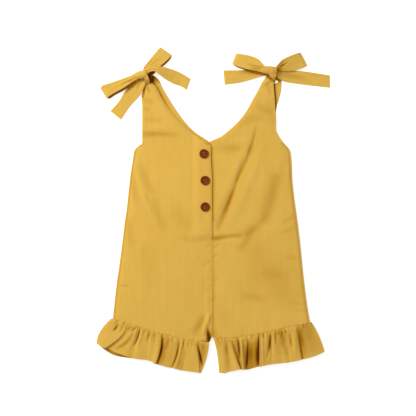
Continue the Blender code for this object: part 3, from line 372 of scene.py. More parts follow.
TAIL_OUT_LEFT = table(Band,
    (94.5, 452.4, 96.5, 443, 6), (100, 453.4, 102.5, 439.4, 4.8), (108, 455.4, 107.8, 436.9, 3, 1),
    (121.5, 453.9, 120.8, 434.6, 1.2, 1), (141, 452, 141, 431.9, 0.6),
    (176.6, 446.4, 176.6, 428, 0.6))

# A knot is a bundle of cloth between two ends, each a point on its middle line.
Knot = namedtuple("Knot", "x0 y0 x1 y1 z across up")

KNOT_RIGHT = Knot(-118.0, 443.6, -97.6, 448.0, 8.4, 6.0, 4.8)
KNOT_LEFT = Knot(70.0, 454.0, 97.0, 452.4, 8.2, 6.2, 4.2)

# The strand of each tie that passes round the straps below its knot.
STRAND_RIGHT = table(Band,
    (-103, 452, -97.4, 452, 9.4), (-101.8, 446, -96.6, 446.6, 11.4),
    (-100.7, 441.3, -94.6, 442, 10.2), (-100.6, 437, -93.2, 437.6, 7.2),
    (-100.4, 432.8, -92.6, 433.5, 4))

STRAND_LEFT = table(Band,
    (77.5, 453, 92, 456, 8.6), (81.8, 449.6, 95.4, 451.2, 9.6), (86, 445.6, 95.8, 446.2, 9),
    (89.6, 441.6, 95, 442.4, 7), (92, 438, 94.8, 439, 5), (92.6, 434, 94.6, 435, 3.4))

# The turn of each tie behind its knot, a piece painted in deep shade.
TURN_RIGHT = table(Band,
    (-99, 455.5, -83.5, 452, 7), (-98.3, 451.5, -85.5, 449, 6.4), (-97.8, 445.8, -89.4, 445, 5.6),
    (-96.6, 440.5, -89.6, 440, 4.8), (-96, 434.5, -90.5, 434.5, 4))

TURN_LEFT = table(Band,
    (91, 452, 104.6, 450.5, 3.2, -2.6), (92, 447, 104.6, 445.5, 2.9, -2.2),
    (93, 442, 104.4, 440.8, 2.6, -1.2), (93.6, 438.8, 104.2, 437.6, 2.5, -0.8))

BUTTON_DIAMETER = 14.0
BUTTON_THICKNESS = 3.0
BUTTON_CENTRES = (("button_top", -11.9, 328.5, 12.0),
                  ("button_middle", -10.2, 288.5, 62.0),
                  ("button_bottom", -10.2, 249.0, 5.0))


# ------------------------------------------------------------------------------ curve tools

def clamp(value, low=0.0, high=1.0):
    return max(low, min(high, value))


def smoothstep(value):
    value = clamp(value)
    return value * value * (3.0 - 2.0 * value)


def mix(first, second, part):
    return first + (second - first) * part


def arch(part):
    """Nothing at both ends of a run and 1 in its middle."""
    return 4.0 * part * (1.0 - part)


def bell(*offsets):
    """1 where every offset is nothing, falling away on all sides."""
    return math.exp(-sum(offset * offset for offset in offsets))


def ripple(x, y, seed):
    """Smooth irregular waves between -1 and 1."""
    return noise.noise(Vector((x, y, seed)))


def slope(before, after):
    """Tangent at a table row that never lets the curve pass its neighbours."""
    if before * after <= 0.0:
        return 0.0
    return 2.0 * before * after / (before + after)


def between(rows, place):
    """The row at a fractional place in a table, on a smooth curve through its rows."""
    last = len(rows) - 1
    index = min(int(clamp(place, 0.0, last)), last - 1)
    part = clamp(place, 0.0, last) - index
    square, cube = part * part, part * part * part
    columns = []
    for column in range(len(rows[0])):
        start, end = rows[index][column], rows[index + 1][column]
        step = end - start
        before = start - rows[index - 1][column] if index > 0 else step
        after = rows[index + 2][column] - end if index < last - 1 else step
        columns.append(start * (2.0 * cube - 3.0 * square + 1.0)
                       + slope(before, step) * (cube - 2.0 * square + part)
                       + end * (3.0 * square - 2.0 * cube)
                       + slope(step, after) * (cube - square))
    return type(rows[0])(*columns)


def by_height(rows, height):
    """The row of a table ordered by falling y at a given height."""
    for index in range(len(rows) - 1):
        if height >= rows[index + 1].y:
            span = rows[index].y - rows[index + 1].y
            return between(rows, index + clamp((rows[index].y - height) / span))
    return rows[-1]


def places(rows, length_of, step):
    """Places down a table whose rows stand about one step apart."""
    found = [0.0]
    for index in range(len(rows) - 1):
        parts = max(1, round(length_of(rows[index], rows[index + 1]) / step))
        found += [index + (part + 1) / parts for part in range(parts)]
    return found


def spread(width, near, far, cells):
    """Parts across a width, with close lines by both edges.

    near and far say how squarely the width meets its two edges, 1 being at right angles.
    """
    reach = RIM[-1] / width
    near, far = max(near, 3.0 * reach), max(far, 3.0 * reach)
    first = [distance / width / near for distance in RIM]
    last = [1.0 - distance / width / far for distance in reversed(RIM)]
    middle = [first[-1] + (last[0] - first[-1]) * cell / cells for cell in range(1, cells)]
    return first + middle + last


# ------------------------------------------------------------------------------- mesh tools

# A cell is one point of a cloth: the middle and the thickness of its wall, the weave's place,
# and how deep its two sides are painted in shade, the first for the side that faces up at the first row.
Cell = namedtuple("Cell", "middle wall grain fold reverse")


def romper_point(x, y, z):
    """A place in the tables as a point of the frame, in metres."""
    return Vector((x - ORIGIN_X, y - ORIGIN_Y, z)) * MM


def rim_share(distance):
    """Share of the wall that is left at a distance from an edge that is rolled round."""
    if distance >= RIM_ROUND:
        return 1.0
    inward = 1.0 - distance / RIM_ROUND
    return mix(RIM_WALL, 1.0, math.sqrt(max(0.0, 1.0 - inward * inward)))


def cloth_layers(mesh):
    """The two layers that the linen reads: how deep the painted shade is, and the weave's place."""
    return mesh.verts.layers.float.new("fold"), mesh.loops.layers.uv.new("grain")


def placed(name, data):
    """A new object in the scene."""
    made = bpy.data.objects.new(name, data)
    bpy.context.scene.collection.objects.link(made)
    return made


def finished(name, mesh, sharp=60.0):
    """Turn a bmesh into a smooth-shaded object."""
    data = bpy.data.meshes.new(name)
    mesh.to_mesh(data)
    mesh.free()
    data.shade_smooth()
    data.set_sharp_from_angle(angle=math.radians(sharp))
    return placed(name, data)


def sheet_mesh(name, cells):
    """A closed cloth wall round a grid of cells, in rows down the cloth."""
    down, across = len(cells) - 1, len(cells[0]) - 1
    mesh = bmesh.new()
    bmesh.ops.create_grid(mesh, x_segments=across, y_segments=down, size=0.5)
    painted_shade_layer, grain_layer = cloth_layers(mesh)

    def corner(vert):
        return round((vert.co.x + 0.5) * across), round((vert.co.y + 0.5) * down)

    def square(i, j):
        """Straight out of the cloth at a cell."""
        row, before, after = cells[j], cells[max(j - 1, 0)], cells[min(j + 1, down)]
        sideways = row[min(i + 1, across)].middle - row[max(i - 1, 0)].middle
        return sideways.cross(before[i].middle - after[i].middle).normalized()

    lower = {vert: corner(vert) for vert in mesh.verts}
    wall = bmesh.ops.extrude_face_region(mesh, geom=mesh.faces[:], use_keep_orig=True)
    upper = {item: corner(item) for item in wall["geom"] if isinstance(item, bmesh.types.BMVert)}
    facing_up = square(across // 2, 0).z
    for side, verts in ((-0.5, lower), (0.5, upper)):
        for vert, (i, j) in verts.items():
            cell = cells[j][i]
            vert.co = romper_point(*(cell.middle + square(i, j) * (cell.wall * side)))
            vert[painted_shade_layer] = cell.fold if side * facing_up > 0.0 else cell.reverse
    corners = {**lower, **upper}
    for face in mesh.faces:
        for loop in face.loops:
            i, j = corners[loop.vert]
            loop[grain_layer].uv = cells[j][i].grain
    bmesh.ops.recalc_face_normals(mesh, faces=mesh.faces[:])
    if mesh.calc_volume(signed=True) < 0.0:
        bmesh.ops.reverse_faces(mesh, faces=mesh.faces[:])
    return finished(name + "_cloth", mesh)


# ---------------------------------------------------------------------------- cloth heights

def crease_depth(crease, x, y):
    """How far one crease lowers the cloth at a point."""
    run_x, run_y = crease.x1 - crease.x0, crease.y1 - crease.y0
    length = math.hypot(run_x, run_y)
    along = ((x - crease.x0) * run_x + (y - crease.y0) * run_y) / (length * length)
    if not 0.0 < along < 1.0:
        return 0.0
    aside = (run_x * (y - crease.y0) - run_y * (x - crease.x0)) / length
    aside = (aside - crease.bow * arch(along)) / crease.width
    if abs(aside) > CREASE_REACH:
        return 0.0
    return crease.depth * bell(aside) * math.sin(math.pi * along) ** CREASE_BLUNTNESS


def creasing(creases, x, y):
    """How far a table of creases lowers the cloth at a point."""
    total = 0.0
    for crease in creases:
        reach = CREASE_REACH * crease.width + abs(crease.bow)
        if (min(crease.x0, crease.x1) - reach < x < max(crease.x0, crease.x1) + reach
                and min(crease.y0, crease.y1) - reach < y < max(crease.y0, crease.y1) + reach):
            total += crease_depth(crease, x, y)
    return total


def front_air(x, y):
    """How far the fronts stand clear of the backs at a point."""
    girth = by_height(GIRTHS, y)
    air = AIR * girth.air * max(0.0, 1.0 - (x / girth.half) ** AIR_FULLNESS)
    for height, across, down, seed in AIR_WAVES:
        air += height * girth.air * ripple(x / across, y / down, seed)
    air += AIR_LIFT * smoothstep((girth.half - abs(x)) / 8.0) - creasing(PANEL_CREASES, x, y)
    return max(0.0, air)


def back_rest(x, y):
    return 0.0


def front_left_rest(x, y):
    """The left front dips under the right one along the centre seam."""
    air = front_air(x, y)
    dip = (WALL * SEAM_PRESSED + SEAM_CLEAR) * smoothstep((3.0 - x) / 2.2)
    dip *= smoothstep((LAP_END - y) / LAP_FADE)
    return FRONT_REST + max(0.0, air - dip)


def front_right_rest(x, y):
    """The right front lies on the underlap."""
    inward = smoothstep((x + LAP_WIDTH + LAP_RAMP) / (LAP_RAMP - LAP_CLEAR))
    upward = smoothstep((y - LAP_END + LAP_FADE) / LAP_FADE)
    return FRONT_REST + front_air(x, y) + LAP_RISE * inward * upward


# ----------------------------------------------------------------------------------- panels

def section_length(first, second):
    side = math.hypot(second.side_x - first.side_x, second.side_y - first.side_y)
    inner = math.hypot(second.inner_x - first.inner_x, second.inner_y - first.inner_y)
    return 0.5 * (side + inner)


def section_width(section):
    return math.hypot(section.inner_x - section.side_x, section.inner_y - section.side_y)


def section_point(section, part):
    """A point across a section.  Its sag is deepest at two thirds, nearer the inner edge."""
    x = mix(section.side_x, section.inner_x, part)
    y = mix(section.side_y, section.inner_y, part)
    return x, y - section.sag * (6.75 * part * part * (1.0 - part))


def squareness(stations, index, part):
    """How squarely a section meets its side edge, at part 0, or its inner edge, at part 1."""
    above, below = stations[max(index - 1, 0)], stations[min(index + 1, len(stations) - 1)]
    edge = Vector(section_point(below, part)) - Vector(section_point(above, part))
    section = stations[index]
    run = Vector((section.inner_x - section.side_x, section.inner_y - section.side_y))
    return abs(edge.cross(run)) / (edge.length * run.length)


def edge_distance(rows, inner, x, y):
    """How far a point lies outside the side or inner edge of a panel, in millimetres across."""
    heights = [row.inner_y if inner else row.side_y for row in rows]
    for index, (above, below) in enumerate(zip(rows, rows[1:])):
        if heights[index] >= y > heights[index + 1]:
            part = (heights[index] - y) / (heights[index] - heights[index + 1])
            ends = (above.inner_x, below.inner_x) if inner else (above.side_x, below.side_x)
            return abs(x - ends[0] - (ends[1] - ends[0]) * part)
    return FAR


def thinned(left, reach, edge, along):
    """Share of the wall beside an edge where it is pressed down to the share left."""
    return 1.0 - (1.0 - left) * smoothstep((reach - edge) / reach) * along


# A spot is a point of a panel, and how far it lies in from its side, inner and leg edges.
Spot = namedtuple("Spot", "x y z side inner leg")


def front_look(rows, spot):
    """A front has rolled edges, creases, and seams that draw it up, with painted shade in its creases,
    beside its seams and where the legs part.
    """
    x, y, z, side, inner, leg = spot
    pucker = math.exp(-leg / 6.0) * LEG_PUCKER + math.exp(-side / 5.0) * SIDE_PUCKER
    rise = pucker * ripple(x / 3.0, y / 14.0, 5.5)
    # Painted shade between the puckers by the leg seam, and a dark patch of painted shade where the legs
    # part.
    shaded = 0.30 * math.exp(-leg / 1.6) * max(0.0, ripple(x / 2.6, 4.0, 2.5))
    shaded += 1.1 * bell((x - CROTCH_X) / 3.4, (y - CROTCH_Y) / 10.0)
    if y < UNDERARM_Y:
        # Painted shade in the groove of the side seam.
        groove = SIDE_GROOVE * bell((side - SIDE_SEAM) / 0.9)
        rise -= groove
        shaded += 0.5 * groove
    if rows is FRONT_RIGHT and y > LAP_END:
        rise -= EDGE_ROLL * bell(inner / 2.4)
    if y > NECK_Y:
        clear = max(0.0, z - FRONT_REST - WALL / 2.0)
        rise -= min(NECK_ROLL, clear) * bell(inner / 3.6)

    share = thinned(SEAM_PRESSED, 9.0, inner, smoothstep((LAP_END + LAP_SEWN - y) / 20.0))
    beside = edge_distance(FRONT_RIGHT, True, x, y)
    below = smoothstep((LAP_END + LAP_SEWN - y) / 12.0)
    below *= 0.55 + 0.45 * smoothstep((y - 110.0) / 80.0)
    # Painted shade beside the placket's edge, beside the centre seam and where the placket ends.
    if rows is FRONT_LEFT:
        shaded += PLACKET_SHADE * bell(beside / 2.7) * (1.0 - below)
        shaded += SEAM_SHADE * bell(beside / 2.4) * below
        shaded += LAP_END_SHADE * bell((x - 6.0) / 11.0, (y - 201.4) / 4.4)
    else:
        shaded += 0.5 * SEAM_SHADE * bell(beside / 2.0) * below
        share *= thinned(EDGE_PRESSED, 4.0, inner, smoothstep((y - LAP_END) / 20.0))
    shade = clamp(0.30 * creasing(PANEL_CREASES, x, y) + shaded)
    return rise, share, shade, shade


def back_look(rows, spot):
    """A back is painted in shade where it comes out from under its front, under the knot and where the
    legs part.
    """
    front = FRONT_RIGHT if rows is BACK_RIGHT else FRONT_LEFT
    inside = edge_distance(front, True, spot.x, spot.y)
    outside = edge_distance(front, False, spot.x, spot.y)
    strap = smoothstep((spot.y - 383.0) / 36.0)
    shaded = (0.16 + 0.52 * strap) * bell(inside / (2.4 + 1.6 * strap))
    shaded += 0.95 * bell(outside / 1.8) + 0.35 * bell(outside / 5.0)
    shaded += 0.65 * smoothstep((spot.y - 431.0) / 11.0)
    shaded += 1.0 - smoothstep(math.hypot(spot.x - CROTCH_X, (spot.y - CROTCH_Y) / 2.0) / 9.0)
    return 0.0, 1.0, clamp(shaded), 0.0


def panel(name, rows, rest, cells, side_close, look):
    """The cloth of a panel, on the heights that rest gives.

    side_close is how far the edge of a side seam moves to meet the other panel, and look
    says of a spot how far it lifts, the share of its wall that is left, and how deep its two sides are
    painted in shade.
    """
    stations = [between(rows, place) for place in places(rows, section_length, PANEL_STEP)]
    cloth = []
    for index, section in enumerate(stations):
        width = section_width(section)
        square_side, square_inner = (squareness(stations, index, end) for end in (0.0, 1.0))
        leg = (len(stations) - 1 - index) * PANEL_STEP
        row = []
        for part in spread(width, square_side, square_inner, cells):
            x, y = section_point(section, part)
            z = rest(x, y) + section.lift + WALL / 2.0
            if section.side_y < UNDERARM_Y:
                z += side_close * (1.0 - smoothstep(part * width / 4.0))
            middle = Vector((x, y, z))
            side, inner = part * width * square_side, (1.0 - part) * width * square_inner
            rise, share, fold, reverse = look(rows, Spot(*middle, side, inner, leg))
            middle.z += rise
            row.append(Cell(middle, WALL * rim_share(min(side, inner, leg)) * share,
                            (middle.x / GRAIN_UNIT, middle.y / GRAIN_UNIT), fold, reverse))
        cloth.append(row)
    return sheet_mesh(name, cloth)


# ---------------------------------------------------------------------------------- ruffles

def leg_seam_y(rows, x):
    """Height of a panel's leg seam at a given x."""
    seam = rows[-1]
    return section_point(seam, clamp((x - seam.side_x) / (seam.inner_x - seam.side_x)))[1]


def gather_point(gather, rows, part):
    """A point down a gather, from the leg seam at 0 to the hem at 1: x, y and rise."""
    seam_y = leg_seam_y(rows, gather.seam_x) + SEAM_TUCK
    x = mix(gather.seam_x, gather.hem_x, part) + gather.bend * arch(part)
    y = mix(seam_y, gather.hem_y, part)
    if part < GATHER_REACH:
        return x, y, gather.swell * smoothstep(part / GATHER_REACH)
    return x, y, mix(gather.swell, gather.rise, (part - GATHER_REACH) / (1.0 - GATHER_REACH))


def front_ruffle_rest(x, seam_y, part):
    """A front run starts under the panel's edge and comes down to its lowest place."""
    under = SEAM_UNDER * (1.0 - smoothstep(part / RUFFLE_OUT))
    return FRONT_REST + front_air(x, seam_y) * (1.0 - smoothstep(part / GATHER_REACH)) - under


def back_ruffle_rest(x, seam_y, part):
    return max(0.0, 0.2 * ripple(x / 12.0, part * 2.0, 9.0))


# The heights that a run lies on, how far it lifts, how far its fine gathers stand up by the
# seam, and how deep in shade the whole run lies.
Fullness = namedtuple("Fullness", "rest lift fine shade")

FULLNESS_RIGHT = Fullness(front_ruffle_rest, GATHER_LIFT, 1.4, 0.04)
FULLNESS_LEFT = Fullness(front_ruffle_rest, GATHER_LIFT, 1.4, 0.05)
FULLNESS_BACK = Fullness(back_ruffle_rest, 0.0, 0.2, 0.45)


def hollows(cells, reach):
    """How deep each cell lies below the crests beside it, from 0 on a crest to 1; this depth is painted as
    shade.
    """
    depths = []
    for row in cells:
        heights = [cell.middle.z for cell in row]
        line = []
        for index, height in enumerate(heights):
            crests = (max(heights[max(0, index - reach):index + 1]),
                      max(heights[index:index + reach + 1]))
            line.append(smoothstep((min(crests) - height) / FOLD_DEPTH))
        depths.append(line)
    return depths


def ruffle(name, gathers, rows, full):
    """A ruffle run: gathers side by side, pulled up finely along the seam, and painted in shade in its
    hollows, its creases and under its seam.
    """
    across = (len(gathers) - 1) * GATHER_CELLS
    lines = [between(gathers, index / GATHER_CELLS) for index in range(across + 1)]
    rim = [distance / RUFFLE_DEPTH for distance in RIM[:-1]]
    middle = [rim[-1] + (1.0 - 2.0 * rim[-1]) * cell / RUFFLE_DOWN for cell in range(1, RUFFLE_DOWN)]
    parts = rim + middle + [1.0 - part for part in reversed(rim)]
    run = [0.0]
    for before, after in zip(lines, lines[1:]):
        run.append(run[-1] + math.hypot(after.hem_x - before.hem_x, after.rise - before.rise))
    cloth = []
    for part in parts:
        row = []
        out = smoothstep(part / RUFFLE_OUT)
        for index, line in enumerate(lines):
            x, y, rise = gather_point(line, rows, part)
            fine = full.fine * math.exp(-part / 0.16) * out
            fine *= ripple(run[index] / 2.3, part * 2.0, 1.7) + 0.35
            wave = ripple(run[index] / 7.0, part * 3.0, 4.2)
            fine += 0.25 * full.fine * wave * smoothstep(part / 0.2)
            z = full.rest(x, leg_seam_y(rows, x), part) + rise + fine + full.lift * out
            if full.lift > 0.0:
                z = max(z - creasing(RUFFLE_CREASES, x, y), FRONT_REST - SEAM_UNDER)
            edge = min(part * RUFFLE_DEPTH, (1.0 - part) * RUFFLE_DEPTH,
                       RUFFLE_CELL * index, RUFFLE_CELL * (across - index))
            row.append(Cell(Vector((x, y, z + RUFFLE_WALL / 2.0)), RUFFLE_WALL * rim_share(edge),
                            (run[index] / GRAIN_UNIT, -part * RUFFLE_DEPTH / GRAIN_UNIT), 0.0, 0.0))
        cloth.append(row)
    for part, row, depths in zip(parts, cloth, hollows(cloth, GATHER_CELLS)):
        for index, cell in enumerate(row):
            x, y = cell.middle.xy
            # Painted shade: in hollows between crests, in creases, between the puckers under the seam, in
            # the broad shade table, and over a whole run.
            fallen = max(0.0, creasing(RUFFLE_CREASES, x, y))
            seam_and_fold_shade = 1.15 * math.exp(-part / 0.09)
            seam_and_fold_shade *= max(0.0, ripple(run[index] / 2.4, part * 3.0, 6.0) + 0.1)
            seam_and_fold_shade += creasing(RUFFLE_SHADES, x, y) if full.lift > 0.0 else 0.0
            shade = max(0.8 * depths[index], 0.15 * fallen) + full.shade + seam_and_fold_shade
            row[index] = cell._replace(fold=clamp(shade))
    return sheet_mesh(name, cloth)


# ------------------------------------------------------------------------------------- ties

def band_length(first, second):
    here, there = (Vector(((band.ax + band.bx) / 2.0, (band.ay + band.by) / 2.0, band.z))
                   for band in (first, second))
    return (there - here).length


def tie(name, rows, shade=0.0, near=0.0, far=0.0, turn=None, creases=(), free_end=False):
    """A stretch of tie, pleated where a knot holds it.

    shade is how deep it is painted in shade, near and far how much deeper its two ends are painted,
    and turn is the row where a loop turns back under itself, past which its inner side is painted in
    shade.
    """
    found = places(rows, band_length, TIE_STEP)
    stations = [between(rows, place) for place in found]
    widths = [math.hypot(band.bx - band.ax, band.by - band.ay) for band in stations]
    down, full, run = len(stations) - 1, max(widths), 0.0
    cloth = []
    for j, (band, width) in enumerate(zip(stations, widths)):
        if j:
            run += band_length(stations[j - 1], band)
        pinch = clamp(1.0 - width / full)
        under = 0.0 if turn is None else smoothstep((found[j] - turn) / 0.7)
        ends = near * clamp(1.0 - j * TIE_STEP / END_SHADE)
        ends += far * clamp(1.0 - (down - j) * TIE_STEP / END_SHADE)
        row = []
        for part in spread(width, 1.0, 1.0, TIE_CELLS):
            x, y = mix(band.ax, band.bx, part), mix(band.ay, band.by, part)
            edge = min(part, 1.0 - part) * width
            fallen = creasing(creases, x, y) * (1.0 - under)
            z = band.z + band.bank * (part - 0.5) - fallen
            z += pinch * TIE_PLEAT * math.cos(2.0 * math.pi * (2.0 * part + 0.1)) * arch(part)
            z += 0.3 * ripple(x / 9.0, y / 9.0, 6.0 + band.z / 30.0) * smoothstep(edge / 3.0)
            end = (down - j) * TIE_STEP if free_end else RIM_ROUND
            row.append(Cell(Vector((x, y, max(z, TIE_WALL / 2.0))),
                            TIE_WALL * rim_share(min(edge, end)),
                            (part * full / GRAIN_UNIT, run / GRAIN_UNIT),
                            clamp(shade + ends + 0.30 * fallen) * (1.0 - under),
                            LOOP_SHADE * under))
        cloth.append(row)
    return sheet_mesh(name, cloth)


# A wrap draws a knot in at a place along it, from -1 to 1.
Wrap = namedtuple("Wrap", "place width depth")

WRAPS_RIGHT = table(Wrap, (-0.80, 0.10, 0.05))
WRAPS_LEFT = table(Wrap, (0.72, 0.06, 0.08), (-0.30, 0.30, 0.04))

# The shares of a knot's width and height that are left at its two ends.
Taper = namedtuple("Taper", "near_across near_up far_across far_up")


def knot(name, size, wraps, taper, shade):
    """A knot: a smooth pad of cloth that tapers to its two ends, pulled in by a few wraps."""
    start, end = Vector((size.x0, size.y0)), Vector((size.x1, size.y1))
    axis = (end - start).normalized()
    aside = Vector((-axis.y, axis.x))
    mesh = bmesh.new()
    bmesh.ops.create_cone(mesh, cap_ends=True, segments=KNOT_SIDES, radius1=1.0, radius2=1.0, depth=2.0)
    long_edges = [edge for edge in mesh.edges if abs(edge.verts[0].co.z - edge.verts[1].co.z) > 1.0]
    bmesh.ops.subdivide_edges(mesh, edges=long_edges, cuts=KNOT_RINGS - 1)
    painted_shade_layer, grain_layer = cloth_layers(mesh)
    for vert in mesh.verts:
        around, up, along = vert.co
        turn = math.atan2(around, up)
        part = (along + 1.0) / 2.0
        rising, falling = smoothstep(part / 0.5), smoothstep((1.0 - part) / 0.3)
        wide = mix(taper.near_across, 1.0, rising) * mix(taper.far_across, 1.0, falling)
        high = mix(taper.near_up, 1.0, rising) * mix(taper.far_up, 1.0, falling)
        place = along + 0.10 * math.sin(turn) + 0.08 * ripple(turn, along * 2.0, size.z)
        groove = sum(bell((place - wrap.place) / wrap.width) * wrap.depth for wrap in wraps)
        full = 0.70 + 0.30 * (1.0 - abs(along) ** 9.0) ** 0.5
        full *= 1.0 - groove + 0.03 * ripple(turn * 2.0, along * 3.0, 2.0)
        centre = (start + end) / 2.0 + axis * (along * (end - start).length / 2.0)
        centre += aside * (around * full * wide * size.across)
        # Painted shade in the grooves of the wraps and towards the knot's far end.
        vert[painted_shade_layer] = clamp(shade + 3.0 * groove + 0.5 * smoothstep((along - 0.9) / 0.1))
        vert.co = romper_point(centre.x, centre.y, size.z + up * full * high * size.up)
    for face in mesh.faces:
        for loop in face.loops:
            spot = loop.vert.co / MM
            loop[grain_layer].uv = (spot.y / GRAIN_UNIT, spot.x / GRAIN_UNIT)
    bmesh.ops.recalc_face_normals(mesh, faces=mesh.faces[:])
    return finished(name + "_cloth", mesh)


# --------------------------------------------------------------------------------- stitches

STITCH_PITCH = 3.0
STITCH_LENGTH = 2.1
THREAD = 0.26             # radius of the sewing thread


def on_top(tree, x, y):
    """The highest point of a surface at a place in the tables, or None beside it."""
    return tree.ray_cast(romper_point(x, y, FAR), Vector((0.0, 0.0, -1.0)))[0]


def edge_line(rows, inner, distance, top, bottom):
    """Places at a distance in from a panel's side or inner edge, between two heights."""
    stations = [between(rows, place) for place in places(rows, section_length, 1.0)]
    line = []
    for index, section in enumerate(stations):
        square = max(squareness(stations, index, 1.0 if inner else 0.0), 0.25)
        part = distance / section_width(section) / square
        x, y = section_point(section, 1.0 - part if inner else part)
        if bottom <= y <= top and part < 0.6:
            line.append((x, y))
    return line


def leg_line(rows, distance):
    """Places above a panel's leg seam."""
    line = []
    for place in range(121):
        x, y = section_point(rows[-1], 0.015 + 0.97 * place / 120.0)
        line.append((x, y + distance))
    return line


def hem_line(gathers, rows, part):
    """Places across a ruffle, a part of the way down it."""
    steps = (len(gathers) - 1) * 6
    return [gather_point(between(gathers, step / 6.0), rows, part)[:2] for step in range(steps + 1)]


def stitching(name, cloth, lines):
    """Rows of lockstitch on a piece of cloth, each stitch a short bead of thread."""
    tree = BVHTree.FromPolygons([vert.co for vert in cloth.data.vertices],
                                [face.vertices for face in cloth.data.polygons])
    size = Matrix.Diagonal((STITCH_LENGTH / 2.0 * MM, THREAD * MM, THREAD * 0.8 * MM, 1.0))
    mesh = bmesh.new()
    for line in lines:
        found = [point for point in (on_top(tree, x, y) for x, y in line) if point is not None]
        walked, due = 0.0, STITCH_PITCH / 2.0
        for start, end in zip(found, found[1:]):
            step = (end - start).length / MM
            turn = (end - start).to_track_quat("X", "Z").to_matrix().to_4x4()
            while step > 0.0 and due <= walked + step and step < 4.0 * STITCH_PITCH:
                centre = Matrix.Translation(start.lerp(end, (due - walked) / step))
                bmesh.ops.create_uvsphere(mesh, u_segments=6, v_segments=4, radius=1.0,
                                          matrix=centre @ turn @ size)
                due += STITCH_PITCH
            walked += step
    return finished(name, mesh)


# ---------------------------------------------------------------------------------- buttons

# Half the outline of a button, from the middle of its face to the middle of its underside.
BUTTON_PROFILE = ((0.0, 0.62), (0.40, 0.62), (0.52, 0.63), (0.60, 0.70), (0.665, 0.86), (0.73, 0.96),
                  (0.80, 1.0), (0.88, 0.965), (0.945, 0.85), (0.985, 0.68), (1.0, 0.50), (0.985, 0.30),
                  (0.92, 0.12), (0.82, 0.02), (0.74, 0.0), (0.0, 0.0))
BUTTON_HOLE = 1.9
BUTTON_HOLE_SPACING = 3.4
BUTTON_SIDES = 64
BUTTON_FACE = 0.62 * BUTTON_THICKNESS


def hole_places():
    reach = BUTTON_HOLE_SPACING / math.sqrt(2.0)
    return [Vector((reach * math.cos(angle), reach * math.sin(angle), 0.0))
            for angle in ((quarter + 0.5) * math.pi / 2.0 for quarter in range(4))]


def button_place(node, x, y, turn):
    """Matrix from a button's own millimetres to its place on the romper."""
    middle = romper_point(x, y, 0.0)
    middle.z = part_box(node)[0].z
    return (Matrix.Translation(middle) @ Matrix.Rotation(math.radians(turn), 4, "Z")
            @ Matrix.Scale(MM, 4))


def button(node, x, y, turn):
    """A turned wooden button with a raised rim and four holes."""
    radius = BUTTON_DIAMETER / 2.0
    mesh = bmesh.new()
    rim = [mesh.verts.new((share * radius, 0.0, level * BUTTON_THICKNESS))
           for share, level in BUTTON_PROFILE]
    outline = [mesh.edges.new(pair) for pair in zip(rim, rim[1:])]
    bmesh.ops.spin(mesh, geom=rim + outline, cent=(0.0, 0.0, 0.0), axis=(0.0, 0.0, 1.0),
                   angle=2.0 * math.pi, steps=BUTTON_SIDES, use_merge=True)
    bmesh.ops.remove_doubles(mesh, verts=mesh.verts[:], dist=0.001)
    bmesh.ops.recalc_face_normals(mesh, faces=mesh.faces[:])
    piece = finished(node + "_wood", mesh, 35.0)

    cutters = bmesh.new()
    for place in hole_places():
        bmesh.ops.create_cone(cutters, cap_ends=True, segments=24, radius1=BUTTON_HOLE / 2.0,
                              radius2=BUTTON_HOLE / 2.0, depth=4.0 * BUTTON_THICKNESS,
                              matrix=Matrix.Translation(place))
    cutter = finished(node + "_cutter", cutters)
    cut = piece.modifiers.new("holes", "BOOLEAN")
    cut.object = cutter
    cut.solver = "EXACT"
    bpy.context.view_layer.update()
    view = bpy.context.evaluated_depsgraph_get()
    drilled = bpy.data.meshes.new_from_object(piece.evaluated_get(view))
    piece.modifiers.clear()
    piece.data = drilled
    bpy.data.objects.remove(cutter)
    drilled.transform(button_place(node, x, y, turn))
    soften = piece.modifiers.new("worn edges", "BEVEL")
    soften.width = 0.12 * MM
    soften.segments = 2
    soften.limit_method = "ANGLE"
    soften.angle_limit = math.radians(40.0)
    return piece


def tube(mesh, path, radius, sides=8):
    """A round strand along a list of points, closed at both ends."""
    last = len(path) - 1
    made = bmesh.ops.create_grid(mesh, x_segments=sides, y_segments=last, size=0.5)
    for vert in made["verts"]:
        angle = 2.0 * math.pi * round((vert.co.x + 0.5) * sides) / sides
        index = round((vert.co.y + 0.5) * last)
        turn = (path[min(index + 1, last)] - path[max(index - 1, 0)]).to_track_quat("Z", "Y")
        thick = radius if 0 < index < last else 0.0
        vert.co = path[index] + turn @ Vector((thick * math.cos(angle), thick * math.sin(angle), 0.0))
    bmesh.ops.remove_doubles(mesh, verts=made["verts"], dist=0.0005)


def button_thread(node, x, y, turn):
    """Thread through the four holes, in two bars over the button's face."""
    mesh = bmesh.new()
    holes = hole_places()
    for start, end in ((holes[0], holes[1]), (holes[3], holes[2])):
        sideways = Vector((-(end - start).y, (end - start).x, 0.0)).normalized()
        for strand in (-1, 0, 1):
            aside = sideways * (0.42 * strand)
            top = BUTTON_FACE + 0.18 - 0.10 * abs(strand)
            levels = (0.4, 1.0, top - 0.35)
            path = [start + aside + Vector((0.0, 0.0, level)) for level in levels]
            for step in range(9):
                part = 0.06 + 0.88 * step / 8.0
                path.append(start.lerp(end, part) + aside + Vector((0.0, 0.0, top + 0.22 * arch(part))))
            path += [end + aside + Vector((0.0, 0.0, level)) for level in reversed(levels)]
            tube(mesh, path, 0.24)
    bmesh.ops.recalc_face_normals(mesh, faces=mesh.faces[:])
    piece = finished(node + "_thread", mesh)
    piece.data.transform(button_place(node, x, y, turn))
    return piece


# -------------------------------------------------------------------------------- materials

WOOD_DARK = (0.066, 0.010, 0.001, 1.0)
WOOD_MIDDLE = (0.165, 0.030, 0.002, 1.0)
WOOD_LIGHT = (0.335, 0.095, 0.010, 1.0)
WOOD_RED = (0.170, 0.020, 0.003, 1.0)

CLOTH_DARK = (0.580, 0.338, 0.046, 1.0)
CLOTH_LIGHT = (0.690, 0.434, 0.090, 1.0)
